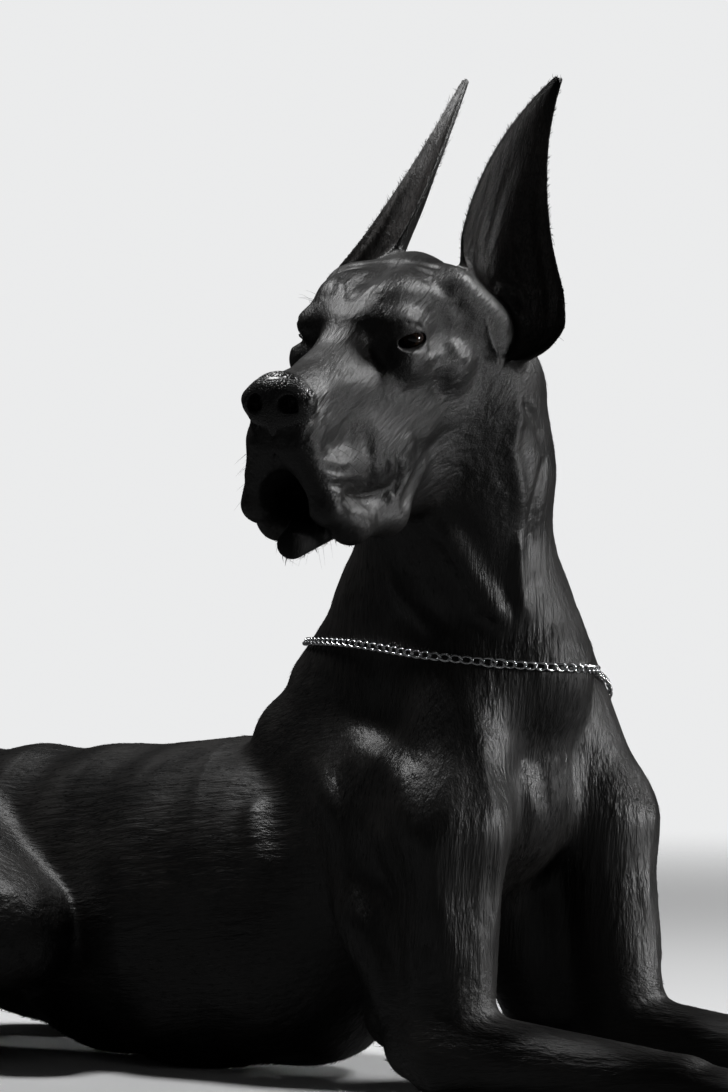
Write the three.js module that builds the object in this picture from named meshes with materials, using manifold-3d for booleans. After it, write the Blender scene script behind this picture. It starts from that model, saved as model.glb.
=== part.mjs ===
// Great dane lying on its breast with the head up and turned to its right, with a loose chain collar.
// Millimetres, +Z up. +X is forward along the back, +Y the dog's left.
// The forms are laid out from a point on the floor between the elbows, and every finished node is then moved so
// that the origin is where the breast rests on the floor.
import * as THREE from 'three';
import { mergeVertices } from 'three/addons/utils/BufferGeometryUtils.js';
import Module from 'manifold-3d';

const wasm = await Module();
wasm.setup();

// Driving dimensions
const GAP = 0.3;              // between two nodes that touch
const BREAST_REST = [-312, 0, 0];
const SHOULDER_Z = 256;       // height of the shoulder joints
const ELBOW_Z = 47;           // height of the elbow joints, forearms on the floor
const ARM_Y = 112;            // shoulder and elbow joints from the middle
const LEFT_ADVANCE = 46;      // the left foreleg lies this far ahead of the right
const FOREARM_LENGTH = 245;   // elbow to wrist
const WITHERS_X = -205;       // top of the shoulder blades
const HIP = [-690, 72, 222];  // hip joint
const STIFLE = [-468, 168, 142];
const HOCK = [-722, 172, 50];
const TAIL_ROOT = [-800, 0, 232];

const HEAD_AT = [75, -290, 708];   // midpoint between the eyes
const HEAD_YAW = -78;              // the way the nose points, from +X towards +Y, in degrees
const HEAD_PITCH = 15;             // nose down
const HEAD_ROLL = -4.5;            // right side up
const EYE_OUT = 46;                // centre of each eyeball from the middle
const EYE_RADIUS = 12.5;
const EAR_THICK = 5;

// Vectors as [x, y, z]
const add = (a, b) => [a[0] + b[0], a[1] + b[1], a[2] + b[2]];
const sub = (a, b) => [a[0] - b[0], a[1] - b[1], a[2] - b[2]];
const mul = (a, k) => [a[0] * k, a[1] * k, a[2] * k];
const dot = (a, b) => a[0] * b[0] + a[1] * b[1] + a[2] * b[2];
const cross = (a, b) => [a[1] * b[2] - a[2] * b[1], a[2] * b[0] - a[0] * b[2], a[0] * b[1] - a[1] * b[0]];
const size = a => Math.sqrt(dot(a, a));
const unit = a => mul(a, 1 / size(a));
const mix = (a, b, t) => a + (b - a) * t;
const clamp = (t, lo = 0, hi = 1) => Math.min(hi, Math.max(lo, t));
const radians = THREE.MathUtils.degToRad;
const flip = (p, side) => [p[0], p[1] * side, p[2]];
const step = (lo, hi, t) => {
  const s = clamp((t - lo) / (hi - lo));
  return s * s * (3 - 2 * s);
};

// A local frame: origin and three unit axes (forward, left, up)
class Frame {
  constructor(at, forward, up) {
    this.at = at;
    this.f = unit(forward);
    this.l = unit(cross(up, this.f));
    this.u = cross(this.f, this.l);
  }
  static turned(at, yaw, pitch, roll) {
    const e = new THREE.Euler(radians(roll), radians(pitch), radians(yaw), 'ZYX');
    const m = new THREE.Matrix4().makeRotationFromEuler(e);
    const f = new THREE.Vector3().setFromMatrixColumn(m, 0).toArray();
    const u = new THREE.Vector3().setFromMatrixColumn(m, 2).toArray();
    return new Frame(at, f, u);
  }
  out(p) {
    return add(this.at, add(mul(this.f, p[0]), add(mul(this.l, p[1]), mul(this.u, p[2]))));
  }
}

// Forms. Each has a distance that is negative inside and grows outside, and a ball that holds it all.
function egg(c, [a, b, h], frame = null) {
  const ia = 1 / a, ib = 1 / b, ih = 1 / h;
  const dist = (x, y, z) => {
    let p = x - c[0], q = y - c[1], s = z - c[2];
    if (frame) {
      const { f, l, u } = frame;
      const p0 = p, q0 = q, s0 = s;
      p = p0 * f[0] + q0 * f[1] + s0 * f[2];
      q = p0 * l[0] + q0 * l[1] + s0 * l[2];
      s = p0 * u[0] + q0 * u[1] + s0 * u[2];
    }
    p *= ia;
    q *= ib;
    s *= ih;
    const k0 = Math.sqrt(p * p + q * q + s * s);
    p *= ia;
    q *= ib;
    s *= ih;
    const k1 = Math.sqrt(p * p + q * q + s * s);
    return k1 > 1e-9 ? k0 * (k0 - 1) / k1 : -Math.min(a, b, h);
  };
  return { dist, at: c, reach: Math.max(a, b, h) };
}

// A tapered limb from a to b. Its section is wa and wb times as wide along the direction tall.
function limb(a, b, ra, rb, wa = 1, wb = 1, tall = null) {
  const d = sub(b, a);
  const dd = dot(d, d);
  const axis = unit(d);
  const m = tall ? unit(sub(tall, mul(axis, dot(tall, axis)))) : [0, 0, 0];
  const dist = (x, y, z) => {
    const px = x - a[0], py = y - a[1], pz = z - a[2];
    let t = (px * d[0] + py * d[1] + pz * d[2]) / dd;
    t = t < 0 ? 0 : t > 1 ? 1 : t;
    let qx = px - d[0] * t, qy = py - d[1] * t, qz = pz - d[2] * t;
    const w = wa + (wb - wa) * t;
    const qm = (qx * m[0] + qy * m[1] + qz * m[2]) * (1 - 1 / w);
    qx -= m[0] * qm;
    qy -= m[1] * qm;
    qz -= m[2] * qm;
    return Math.sqrt(qx * qx + qy * qy + qz * qz) - (ra + (rb - ra) * t);
  };
  return { dist, at: mul(add(a, b), 0.5), reach: size(d) / 2 + Math.max(ra * Math.max(wa, 1), rb * Math.max(wb, 1)) };
}

// A list of forms melted into one, each with its own blend width
class Body {
  constructor(frame = null) {
    this.frame = frame;
    this.parts = [];
  }
  add(blend, form) {
    this.parts.push({ ...form, blend, hollow: false });
    return this;
  }
  carve(blend, form) {
    this.parts.push({ ...form, blend, hollow: true });
    return this;
  }
  chain(blend, stations, tall) {
    for (let i = 1; i < stations.length; i++) {
      const [a, ra, wa] = stations[i - 1];
      const [b, rb, wb] = stations[i];
      this.add(blend, limb(a, b, ra, rb, wa, wb, tall));
    }
    return this;
  }
  field() {
    const { parts, frame } = this;
    const lo = [0, 1, 2].map(i => Math.min(...parts.map(p => p.at[i] - p.reach)));
    const hi = [0, 1, 2].map(i => Math.max(...parts.map(p => p.at[i] + p.reach)));
    const FAR = 90;
    const melt = (x, y, z) => {
      const bx = Math.max(lo[0] - x, x - hi[0], 0);
      const by = Math.max(lo[1] - y, y - hi[1], 0);
      const bz = Math.max(lo[2] - z, z - hi[2], 0);
      const box = Math.sqrt(bx * bx + by * by + bz * bz);
      if (box > FAR) return box;
      let d = 1e6;
      for (let i = 0; i < parts.length; i++) {
        const { dist, at, reach, blend, hollow } = parts[i];
        const ax = x - at[0], ay = y - at[1], az = z - at[2];
        const near = (hollow ? -d : d) + blend + reach;
        if (near < 0 || ax * ax + ay * ay + az * az > near * near) continue;
        const e = hollow ? -dist(x, y, z) : dist(x, y, z);
        const h = Math.max(blend - Math.abs(d - e), 0) / blend;
        d = hollow ? Math.max(d, e) + h * h * blend / 4 : Math.min(d, e) - h * h * blend / 4;
      }
      return d;
    };
    if (!frame) return melt;
    const { at, f, l, u } = frame;
    return (x, y, z) => {
      const p = x - at[0], q = y - at[1], s = z - at[2];
      return melt(p * f[0] + q * f[1] + s * f[2], p * l[0] + q * l[1] + s * l[2], p * u[0] + q * u[1] + s * u[2]);
    };
  }
}

const headFrame = Frame.turned(HEAD_AT, HEAD_YAW, HEAD_PITCH, HEAD_ROLL);

// Head, in its own frame: x towards the nose, y to the dog's left, z up, from between the eyes
function headBody() {
  const h = new Body(headFrame);
  h.add(10, egg([-95, 0, 2], [95, 62, 56]));
  h.add(30, limb([-130, 0, 30], [-186, 0, 22], 26, 16));
  h.add(30, egg([-30, 0, 8], [52, 42, 36]));
  h.add(20, egg([-45, 0, -55], [62, 34, 52]));
  for (const s of [1, -1]) {
    h.add(34, egg([-30, s * 25, 18], [46, 28, 31]));
    h.add(16, egg([-2, s * 44, 17], [20, 17, 14]));
    h.add(18, egg([0, s * 47, -18], [19, 14, 14]));
    h.add(20, limb([2, s * 46, -20], [-72, s * 60, -34], 14, 15));
    h.add(20, limb([-72, s * 60, -34], [-125, s * 60, -20], 15, 16));
    h.add(24, egg([-75, s * 42, -62], [58, 27, 60]));
    h.add(30, limb([-100, s * 50, 24], [-138, s * 60, -12], 28, 34));
  }
  h.carve(18, limb([20, 0, 40], [-80, 0, 66], 8, 8));
  h.add(22, limb([10, 0, -24], [150, 0, -27], 25, 23));
  h.add(22, limb([20, 0, -62], [140, 0, -58], 40, 35));
  for (const s of [1, -1]) {
    h.add(26, limb([-6, s * 26, -42], [80, s * 14, -42], 26, 22));
    h.add(26, limb([-14, s * 32, -82], [60, s * 26, -86], 30, 28));
    h.add(14, limb([156, s * 16, -66], [138, s * 28, -124], 17, 15));
    h.add(14, limb([138, s * 28, -124], [100, s * 34, -146], 15, 18));
    h.add(14, limb([100, s * 34, -146], [35, s * 37, -150], 18, 20));
    h.add(18, limb([130, s * 26, -95], [30, s * 36, -105], 20, 26));
    h.add(20, limb([35, s * 37, -150], [-12, s * 42, -118], 20, 16));
  }
  h.add(24, limb([40, 0, -135], [-90, 0, -110], 30, 45));
  h.add(24, limb([60, 0, -140], [-60, 0, -130], 28, 50));
  h.carve(5, limb([190, 0, -84], [158, 0, -150], 5, 27));
  h.add(8, limb([130, 0, -150], [40, 0, -142], 20, 26, 1.1, 1.1, [0, 1, 0]));
  for (const s of [1, -1]) h.carve(4, limb([142, s * 23, -168], [40, s * 26, -180], 3, 3));
  h.add(10, egg([158, 0, -28], [18, 31, 27]));
  h.carve(4, limb([174, 0, -46], [176, 0, -84], 2.5, 3));
  for (const s of [1, -1]) {
    h.carve(4, egg([170, s * 17, -28], [15, 7, 8]));
    h.carve(4, limb([166, s * 22, -30], [150, s * 33, -22], 3, 2));
  }
  eyelids(h);
  return h;
}

// Lids: a ball around each eye, opened in front by a flat egg
const EYE_AT = [-18, EYE_OUT, 0];
const GAZE = [0.86, 0.5, -0.05];
function eyelids(h) {
  for (const s of [1, -1]) {
    const at = flip(EYE_AT, s), look = unit(flip(GAZE, s));
    h.add(8, egg(at, [EYE_RADIUS + 2.4, EYE_RADIUS + 2.4, EYE_RADIUS + 2.4]));
    h.carve(2.5, egg(add(at, mul(look, 18)), [30, 13.5, 5.2], new Frame(at, look, [0, 0, 1])));
  }
}

// One cropped ear, as a bent leaf: s runs up the leaf, t across it to its rear edge, q out of its hollow face
function earLeaf(side, { base, tip, across }, top = Infinity) {
  const axis = unit(sub(tip, base));
  const l = unit(sub(across, mul(axis, dot(across, axis))));
  const n = mul(cross(l, axis), side);
  const long = size(sub(tip, base));
  const half = k => 56 * (k < 0.14 ? Math.sqrt(Math.max(0.09, 1 - ((0.14 - k) / 0.34) ** 2)) : (1 - (k - 0.14) / 0.86) ** 0.97 + k / 14);
  const bow = k => -100 * Math.max(k, 0) * (1 - k);
  const cup = k => mix(34, 5, step(-0.1, 0.8, k));
  const dist = (x, y, z) => {
    const px = x - base[0], py = y - base[1], pz = z - base[2];
    const s = px * axis[0] + py * axis[1] + pz * axis[2];
    const k = clamp(s / long, -0.2, 1);
    const t = px * l[0] + py * l[1] + pz * l[2] - bow(k);
    const q = px * n[0] + py * n[1] + pz * n[2];
    const w = half(k);
    const c = cup(k);
    const r = Math.min(Math.abs(t / w), 1.3);
    const slope = 2 * c * r / w;
    const sheet = Math.abs(q - 14 + c * (1 - r * r)) / Math.sqrt(1 + slope * slope)
      - EAR_THICK / 2 * mix(1.9, 0.8, step(-0.05, 0.35, k));
    const edge = (Math.abs(t) - w) * 0.8;
    return Math.max(sheet, edge, s - Math.min(long, top), -s - 42);
  };
  return { dist, at: mul(add(base, tip), 0.5), reach: long / 2 + 70 };
}

const EARS = {
  left: { base: [-150, 88, 0], tip: [-285, 85, 205], across: [-0.66, 0.67, -0.35] },
  right: { base: [-150, -80, 0], tip: [-320, -13, 196], across: [-0.5, -0.8, -0.3] },
};

const EAR_CUT = 14;           // each ear stands as a node of its own from this far up its axis
const EAR_STUB = 60;          // the head's own surface carries the leaf this far, for the cut
function earStubs() {
  return new Body(headFrame).add(8, earLeaf(1, EARS.left, EAR_STUB)).add(8, earLeaf(-1, EARS.right, EAR_STUB));
}

// Neck, from between the shoulders up to the back of the skull
function neckBody() {
  const n = new Body();
  const turn = deg => [Math.cos(radians(deg)), Math.sin(radians(deg)), 0];
  const rings = [
    [[-75, -6, 335], 100, 1.58, 0], [[-8, -14, 430], 92, 1.52, 0], [[-4, -27, 470], 84, 1.43, -4],
    [[9, -49, 525], 77, 1.32, -12], [[33, -72, 600], 83.5, 1.2, -45], [[56, -100, 668], 81, 1.2, -75],
  ];
  for (let i = 1; i < rings.length; i++) {
    const [a, ra, wa, ta] = rings[i - 1];
    const [b, rb, wb, tb] = rings[i];
    n.add(30, limb(a, b, ra, rb, wa, wb, turn((ta + tb) / 2)));
  }
  return n;
}

// Chest, belly and rump
function torsoBody() {
  const t = new Body();
  t.chain(30, [
    [[-5, 0, 268], 88, 0.8], [[-110, 0, 226], 122, 0.92], [[-230, 0, 178], 137, 1.21],
    [[-350, 0, 164], 139, 1.19], [[-470, 0, 168], 119, 1.32], [[-590, 0, 182], 104, 1.36],
    [[-700, 0, 188], 100, 1.32], [[-775, 0, 188], 74, 1.24],
  ], [0, 0, 1]);
  return t;
}

function shoulderAt(side) {
  return [48 + (side > 0 ? 22 : 0), side * ARM_Y, SHOULDER_Z];
}

function elbowAt(side) {
  return [56 + (side > 0 ? LEFT_ADVANCE : 0), side * ARM_Y, ELBOW_Z];
}

function wristAt(side) {
  return add(elbowAt(side), [FOREARM_LENGTH, -side * 12, -14]);
}

function forelegBody() {
  const b = new Body();
  for (const s of [1, -1]) {
    const sh = shoulderAt(s), el = elbowAt(s), wr = wristAt(s);
    const blade = [WITHERS_X, s * 40, 345];
    b.add(40, limb(blade, add(sh, [-20, -s * 4, 10]), 34, 58, 1.2, 1.2));
    b.add(34, limb([27, s * 61, 414], add(sh, [0, 0, 10]), 60, 50));
    b.add(30, limb(sh, add(el, [-8, 0, 34]), 54, 44, 1, 1));
    b.add(30, limb(add(sh, [-122, 0, 20]), add(el, [-94, -s * 4, 120]), 45, 38));
    b.add(24, limb(add(el, [-94, -s * 4, 120]), add(el, [-40, 0, 16]), 38, 30));
    b.add(30, limb([-10, s * 60, 190], add(el, [-86, -s * 30, 32]), 55, 40));
    b.add(20, limb(add(el, [-46, 0, 2]), add(el, [0, 0, 0]), 31, 44, 1, 1.15));
    b.add(20, limb(el, wr, 45, 31, 1.15, 1.05));
  }
  return b;
}

function hindlegBody() {
  const b = new Body();
  for (const s of [1, -1]) {
    const hip = flip(HIP, s), st = flip(STIFLE, s), ho = flip(HOCK, s);
    b.add(40, limb(hip, st, 96, 60, 1, 1.15));
    b.add(30, limb(add(hip, [-60, s * 10, -50]), add(st, [-120, s * 5, -30]), 76, 60));
    b.add(24, limb(st, ho, 50, 25));
  }
  return b;
}

// A foot from the wrist or hock to the toes, lying on the floor
const TOES = [-33, -12, 11, 32];
function footForms(b, from, knuckle) {
  const dir = unit(sub(knuckle, from));
  const l = unit(cross([0, 0, 1], dir));
  b.add(14, limb(from, knuckle, 28, 26, 1, 1.35, l));
  TOES.forEach((y, i) => {
    const long = i === 1 || i === 2 ? 1 : 0.72;
    const root = add(knuckle, mul(l, y * 0.8));
    const joint = add(add(knuckle, mul(dir, 30 * long)), add(mul(l, y), [0, 0, 8]));
    const tip = add(add(knuckle, mul(dir, 64 * long)), add(mul(l, y * 1.1), [0, 0, -12]));
    b.add(9, limb(root, joint, 16, 15));
    b.add(7, limb(joint, tip, 14.5, 12));
  });
}

function feetBody() {
  const b = new Body();
  for (const s of [1, -1]) {
    const wr = wristAt(s);
    footForms(b, wr, add(wr, [82, -s * 2, -9]));
    const ho = flip(HOCK, s);
    footForms(b, add(ho, [4, 0, -22]), add(ho, [150, s * 14, -26]));
  }
  return b;
}

const TAIL = [
  [TAIL_ROOT, 40], [[-862, 8, 172], 31], [[-912, 24, 92], 25], [[-968, 50, 36], 20],
  [[-1050, 96, 16], 17], [[-1140, 160, 12], 14], [[-1215, 240, 9], 11], [[-1262, 322, 6], 7],
];

function tailBody() {
  return new Body().chain(9, TAIL.map(([p, r]) => [p, r, 1]), [0, 0, 1]);
}

function dogField() {
  const head = headBody().field(), ears = earStubs().field(), neck = neckBody().field();
  const torso = torsoBody().field(), fore = forelegBody().field(), hind = hindlegBody().field();
  const feet = feetBody().field(), tail = tailBody().field();
  const join = (a, b, k) => {
    const h = Math.max(k - Math.abs(a - b), 0) / k;
    return Math.min(a, b) - h * h * k / 4;
  };
  return (x, y, z) => {
    let d = torso(x, y, z);
    d = join(d, neck(x, y, z), 60);
    d = join(d, fore(x, y, z), 26);
    d = join(d, hind(x, y, z), 24);
    d = join(d, feet(x, y, z), 10);
    d = join(d, tail(x, y, z), 40);
    if (z > 450) {
      d = join(d, head(x, y, z), 30);
      d = join(d, ears(x, y, z), 8);
    }
    return d;
  };
}

// Surface of a field inside a box, by marching tetrahedra. Every cube is cut into six along its diagonal.
const ORDERS = [[0, 1, 2, 1], [1, 2, 0, 1], [2, 0, 1, 1], [0, 2, 1, -1], [2, 1, 0, -1], [1, 0, 2, -1]];
const TETS = ORDERS.map(([a, b, , sign]) => {
  const one = 1 << a, two = one | 1 << b;
  return sign > 0 ? [0, one, two, 7] : [0, two, one, 7];
});
const TURNS = [[0, 1, 2, 3], [1, 0, 3, 2], [2, 0, 1, 3], [3, 0, 2, 1]];
const PAIRS = [[0, 1, 2, 3], [0, 2, 3, 1], [0, 3, 1, 2], [1, 2, 0, 3], [1, 3, 2, 0], [2, 3, 0, 1]];
const BLOCK = 6;

function sampleField(field, lo, hi, cell) {
  const count = lo.map((v, i) => Math.ceil((hi[i] - v) / cell));
  const [dx, dy, dz] = lo.map((v, i) => (hi[i] - v) / count[i]);
  const n = count.map(c => c + 3);
  const at = (i, j, k) => [lo[0] + (i - 1.5) * dx, lo[1] + (j - 1.5) * dy, lo[2] + (k - 1.5) * dz];
  const values = new Float32Array(n[0] * n[1] * n[2]);
  const inBox = (x, y, z) => Math.max(lo[0] - x, x - hi[0], lo[1] - y, y - hi[1], lo[2] - z, z - hi[2]);
  const value = p => Math.max(field(...p), inBox(...p)) || 1e-4;
  const skip = BLOCK * cell * 1.45;
  for (let k0 = 0; k0 < n[2]; k0 += BLOCK) {
    for (let j0 = 0; j0 < n[1]; j0 += BLOCK) {
      for (let i0 = 0; i0 < n[0]; i0 += BLOCK) {
        const mid = value(at(i0 + BLOCK / 2, j0 + BLOCK / 2, k0 + BLOCK / 2));
        for (let k = k0; k < Math.min(k0 + BLOCK, n[2]); k++) {
          for (let j = j0; j < Math.min(j0 + BLOCK, n[1]); j++) {
            for (let i = i0; i < Math.min(i0 + BLOCK, n[0]); i++) {
              values[(k * n[1] + j) * n[0] + i] = Math.abs(mid) > skip ? mid : value(at(i, j, k));
            }
          }
        }
      }
    }
  }
  return { values, n, at };
}

function polygonise(field, lo, hi, cell) {
  const { values, n, at } = sampleField(field, lo, hi, cell);
  const [nx, ny, nz] = n;
  const jump = [0, 1, 2, 3, 4, 5, 6, 7].map(c => (c & 1) + (c >> 1 & 1) * nx + (c >> 2) * nx * ny);
  const points = [], triangles = [], seen = new Map();
  const place = id => at(id % nx, Math.floor(id / nx) % ny, Math.floor(id / (nx * ny)));
  const crossing = (a, b) => {
    const key = Math.min(a, b) * 8 + jump.indexOf(Math.abs(a - b));
    let v = seen.get(key);
    if (v === undefined) {
      const t = clamp(values[a] / (values[a] - values[b]), 0.02, 0.98);
      const p = place(a), q = place(b);
      v = points.length;
      points.push([mix(p[0], q[0], t), mix(p[1], q[1], t), mix(p[2], q[2], t)]);
      seen.set(key, v);
    }
    return v;
  };
  for (let k = 0; k < nz - 1; k++) {
    for (let j = 0; j < ny - 1; j++) {
      for (let i = 0; i < nx - 1; i++) {
        const base = (k * ny + j) * nx + i;
        let inside = 0;
        for (const q of jump) inside += values[base + q] < 0;
        if (inside === 0 || inside === 8) continue;
        for (const tet of TETS) {
          const id = tet.map(c => base + jump[c]);
          const neg = id.map(q => values[q] < 0);
          const count = neg.filter(Boolean).length;
          if (count === 1 || count === 3) {
            const [o, a, b, c] = TURNS[neg.indexOf(count === 1)].map(q => id[q]);
            const tri = [crossing(o, a), crossing(o, b), crossing(o, c)];
            triangles.push(count === 1 ? tri : [tri[0], tri[2], tri[1]]);
          } else if (count === 2) {
            const [a, b, c, d] = PAIRS.find(([p, q]) => neg[p] && neg[q]).map(q => id[q]);
            const quad = [crossing(a, c), crossing(a, d), crossing(b, d), crossing(b, c)];
            triangles.push([quad[0], quad[1], quad[2]], [quad[0], quad[2], quad[3]]);
          }
        }
      }
    }
  }
  return { points, triangles };
}

// A heap of edges, cheapest first. An edge is its cost, its two points and the place where they would meet.
class Heap {
  constructor() {
    this.items = [];
  }
  push(item) {
    const q = this.items;
    let i = q.length;
    q.push(item);
    while (i > 0) {
      const up = i - 1 >> 1;
      if (q[up].cost <= item.cost) break;
      q[i] = q[up];
      i = up;
    }
    q[i] = item;
  }
  pop() {
    const q = this.items;
    const top = q[0], last = q.pop();
    if (!q.length) return top;
    let i = 0;
    for (;;) {
      let c = 2 * i + 1;
      if (c >= q.length) break;
      if (c + 1 < q.length && q[c + 1].cost < q[c].cost) c++;
      if (q[c].cost >= last.cost) break;
      q[i] = q[c];
      i = c;
    }
    q[i] = last;
    return top;
  }
}

// Fewer triangles for the same shape: edges are collapsed where the surface is flattest
const TERMS = 10;             // of the squared distance to a set of planes
const FLIP = 0.2;             // a triangle may turn by no more than this cosine
const SLIVER = 0.05;          // and get no thinner than this, height over length, on the first pass
const PASSES = 6;
class Simplifier {
  constructor({ points, triangles }) {
    this.p = Float64Array.from(points.flat());
    this.t = Int32Array.from(triangles.flat());
    this.alive = new Uint8Array(triangles.length).fill(1);
    this.around = points.map(() => []);
    this.q = new Float64Array(points.length * TERMS);
    this.stamp = new Int32Array(points.length);
    this.mark = new Int32Array(points.length);
    this.round = 0;
    this.heap = new Heap();
    this.n = [0, 0, 0];
    this.sliver = SLIVER;
    this.refused = points.map(() => null);
    for (let i = 0; i < triangles.length; i++) this.addPlane(i);
  }
  facing(a, b, c, ax, ay, az, moved) {
    const { p, n } = this;
    const at = v => v === moved ? [ax, ay, az] : [p[3 * v], p[3 * v + 1], p[3 * v + 2]];
    const [x0, y0, z0] = at(a), [x1, y1, z1] = at(b), [x2, y2, z2] = at(c);
    const ux = x1 - x0, uy = y1 - y0, uz = z1 - z0, vx = x2 - x0, vy = y2 - y0, vz = z2 - z0;
    n[0] = uy * vz - uz * vy;
    n[1] = uz * vx - ux * vz;
    n[2] = ux * vy - uy * vx;
    const wx = x2 - x1, wy = y2 - y1, wz = z2 - z1;
    return Math.max(ux * ux + uy * uy + uz * uz, vx * vx + vy * vy + vz * vz, wx * wx + wy * wy + wz * wz);
  }
  addPlane(i) {
    const { t, p, q, n, around } = this;
    this.facing(t[3 * i], t[3 * i + 1], t[3 * i + 2], 0, 0, 0, -1);
    const area = size(n);
    for (let k = 0; k < 3; k++) around[t[3 * i + k]].push(i);
    if (area < 1e-9) return;
    const x = n[0] / area, y = n[1] / area, z = n[2] / area, v = t[3 * i];
    const w = -(x * p[3 * v] + y * p[3 * v + 1] + z * p[3 * v + 2]);
    const terms = [x * x, x * y, x * z, x * w, y * y, y * z, y * w, z * z, z * w, w * w];
    for (let c = 0; c < 3; c++) {
      const o = t[3 * i + c] * TERMS;
      for (let k = 0; k < TERMS; k++) q[o + k] += terms[k] * area;
    }
  }
  queue(a, b) {
    const { p, q } = this;
    const i = a * TERMS, j = b * TERMS;
    const q0 = q[i] + q[j], q1 = q[i + 1] + q[j + 1], q2 = q[i + 2] + q[j + 2], q3 = q[i + 3] + q[j + 3];
    const q4 = q[i + 4] + q[j + 4], q5 = q[i + 5] + q[j + 5], q6 = q[i + 6] + q[j + 6];
    const q7 = q[i + 7] + q[j + 7], q8 = q[i + 8] + q[j + 8];
    const ax = p[3 * a], ay = p[3 * a + 1], az = p[3 * a + 2], bx = p[3 * b], by = p[3 * b + 1], bz = p[3 * b + 2];
    const mx = (ax + bx) / 2, my = (ay + by) / 2, mz = (az + bz) / 2;
    const near = 2e-3 * (q0 + q4 + q7) + 1e-9;
    const a0 = q0 + near, a4 = q4 + near, a7 = q7 + near;
    const r0 = near * mx - q3, r1 = near * my - q6, r2 = near * mz - q8;
    const c00 = a4 * a7 - q5 * q5, c01 = q2 * q5 - q1 * a7, c02 = q1 * q5 - q2 * a4;
    const c11 = a0 * a7 - q2 * q2, c12 = q1 * q2 - a0 * q5, c22 = a0 * a4 - q1 * q1;
    const det = a0 * c00 + q1 * c01 + q2 * c02;
    const x = (c00 * r0 + c01 * r1 + c02 * r2) / det;
    const y = (c01 * r0 + c11 * r1 + c12 * r2) / det;
    const z = (c02 * r0 + c12 * r1 + c22 * r2) / det;
    this.offer(a, b, x, y, z, 0);
  }
  // Put a meeting place for an edge on the heap. The first kind is the best place, the others are its ends.
  offer(a, b, x, y, z, kind) {
    const { p, q, stamp } = this;
    const i = a * TERMS, j = b * TERMS;
    const dd = (p[3 * a] - p[3 * b]) ** 2 + (p[3 * a + 1] - p[3 * b + 1]) ** 2 + (p[3 * a + 2] - p[3 * b + 2]) ** 2;
    const cost = (q[i] + q[j]) * x * x + 2 * (q[i + 1] + q[j + 1]) * x * y + 2 * (q[i + 2] + q[j + 2]) * x * z
      + 2 * (q[i + 3] + q[j + 3]) * x + (q[i + 4] + q[j + 4]) * y * y + 2 * (q[i + 5] + q[j + 5]) * y * z
      + 2 * (q[i + 6] + q[j + 6]) * y + (q[i + 7] + q[j + 7]) * z * z + 2 * (q[i + 8] + q[j + 8]) * z
      + q[i + 9] + q[j + 9] + 3e-5 * dd * dd;
    this.heap.push({ cost, a, b, sa: stamp[a], sb: stamp[b], x, y, z, kind });
  }
  // An edge that may not be collapsed now is tried again once something beside it has changed
  refuse({ a, b, kind }) {
    const { p, refused } = this;
    if (kind === 0) {
      this.offer(a, b, p[3 * a], p[3 * a + 1], p[3 * a + 2], 1);
      this.offer(a, b, p[3 * b], p[3 * b + 1], p[3 * b + 2], 2);
    } else if (kind === 2) {
      (refused[a] ??= []).push(b);
      (refused[b] ??= []).push(a);
    }
  }
  fits(v, other, x, y, z) {
    const { t, n } = this;
    for (const i of this.around[v]) {
      const a = t[3 * i], b = t[3 * i + 1], c = t[3 * i + 2];
      if (a === other || b === other || c === other) continue;
      const long0 = this.facing(a, b, c, 0, 0, 0, -1);
      const nx = n[0], ny = n[1], nz = n[2], s0 = Math.sqrt(nx * nx + ny * ny + nz * nz);
      const long1 = this.facing(a, b, c, x, y, z, v);
      const s1 = Math.sqrt(n[0] * n[0] + n[1] * n[1] + n[2] * n[2]);
      if (nx * n[0] + ny * n[1] + nz * n[2] < FLIP * s0 * s1) return false;
      if (s1 < this.sliver * long1 && s1 * long0 < s0 * long1) return false;
    }
    return true;
  }
  sharedNeighbours(a, b) {
    const { t, mark } = this;
    const seen = ++this.round;
    for (const i of this.around[a]) for (let k = 0; k < 3; k++) mark[t[3 * i + k]] = seen;
    let shared = 0;
    for (const i of this.around[b]) {
      for (let k = 0; k < 3; k++) {
        const v = t[3 * i + k];
        if (v !== a && v !== b && mark[v] === seen) {
          shared++;
          mark[v] = 0;
        }
      }
    }
    return shared;
  }
  collapse(a, b, x, y, z) {
    const { t, alive, around, p, q, stamp } = this;
    let gone = 0;
    for (const i of around[b]) {
      const c = [t[3 * i], t[3 * i + 1], t[3 * i + 2]];
      if (c.includes(a)) {
        for (const v of c) if (v !== b) around[v].splice(around[v].indexOf(i), 1);
        alive[i] = 0;
        gone++;
      } else {
        t[3 * i + c.indexOf(b)] = a;
        around[a].push(i);
      }
    }
    around[b] = [];
    p.set([x, y, z], 3 * a);
    for (let k = 0; k < TERMS; k++) q[a * TERMS + k] += q[b * TERMS + k];
    stamp[a]++;
    stamp[b] = -1;
    const done = new Set([a]);
    for (const i of around[a]) {
      for (let k = 0; k < 3; k++) {
        const v = t[3 * i + k];
        if (!done.has(v)) {
          done.add(v);
          this.queue(a, v);
          const again = this.refused[v];
          this.refused[v] = null;
          for (const w of again ?? []) {
            if (w !== a && stamp[w] >= 0 && around[v].some(j => t[3 * j] === w || t[3 * j + 1] === w || t[3 * j + 2] === w)) {
              this.queue(v, w);
            }
          }
        }
      }
    }
    return gone;
  }
  reduce(target) {
    const { t, alive, stamp, heap } = this;
    let left = alive.length;
    for (let pass = 0; pass < PASSES && left > target; pass++) {
      for (let i = 0; i < alive.length; i++) {
        for (let k = 0; k < 3 && alive[i]; k++) {
          const a = t[3 * i + k], b = t[3 * i + (k + 1) % 3];
          if (a < b) this.queue(a, b);
        }
      }
      while (left > target && heap.items.length) {
        const edge = heap.pop();
        const { a, b, sa, sb, x, y, z } = edge;
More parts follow.
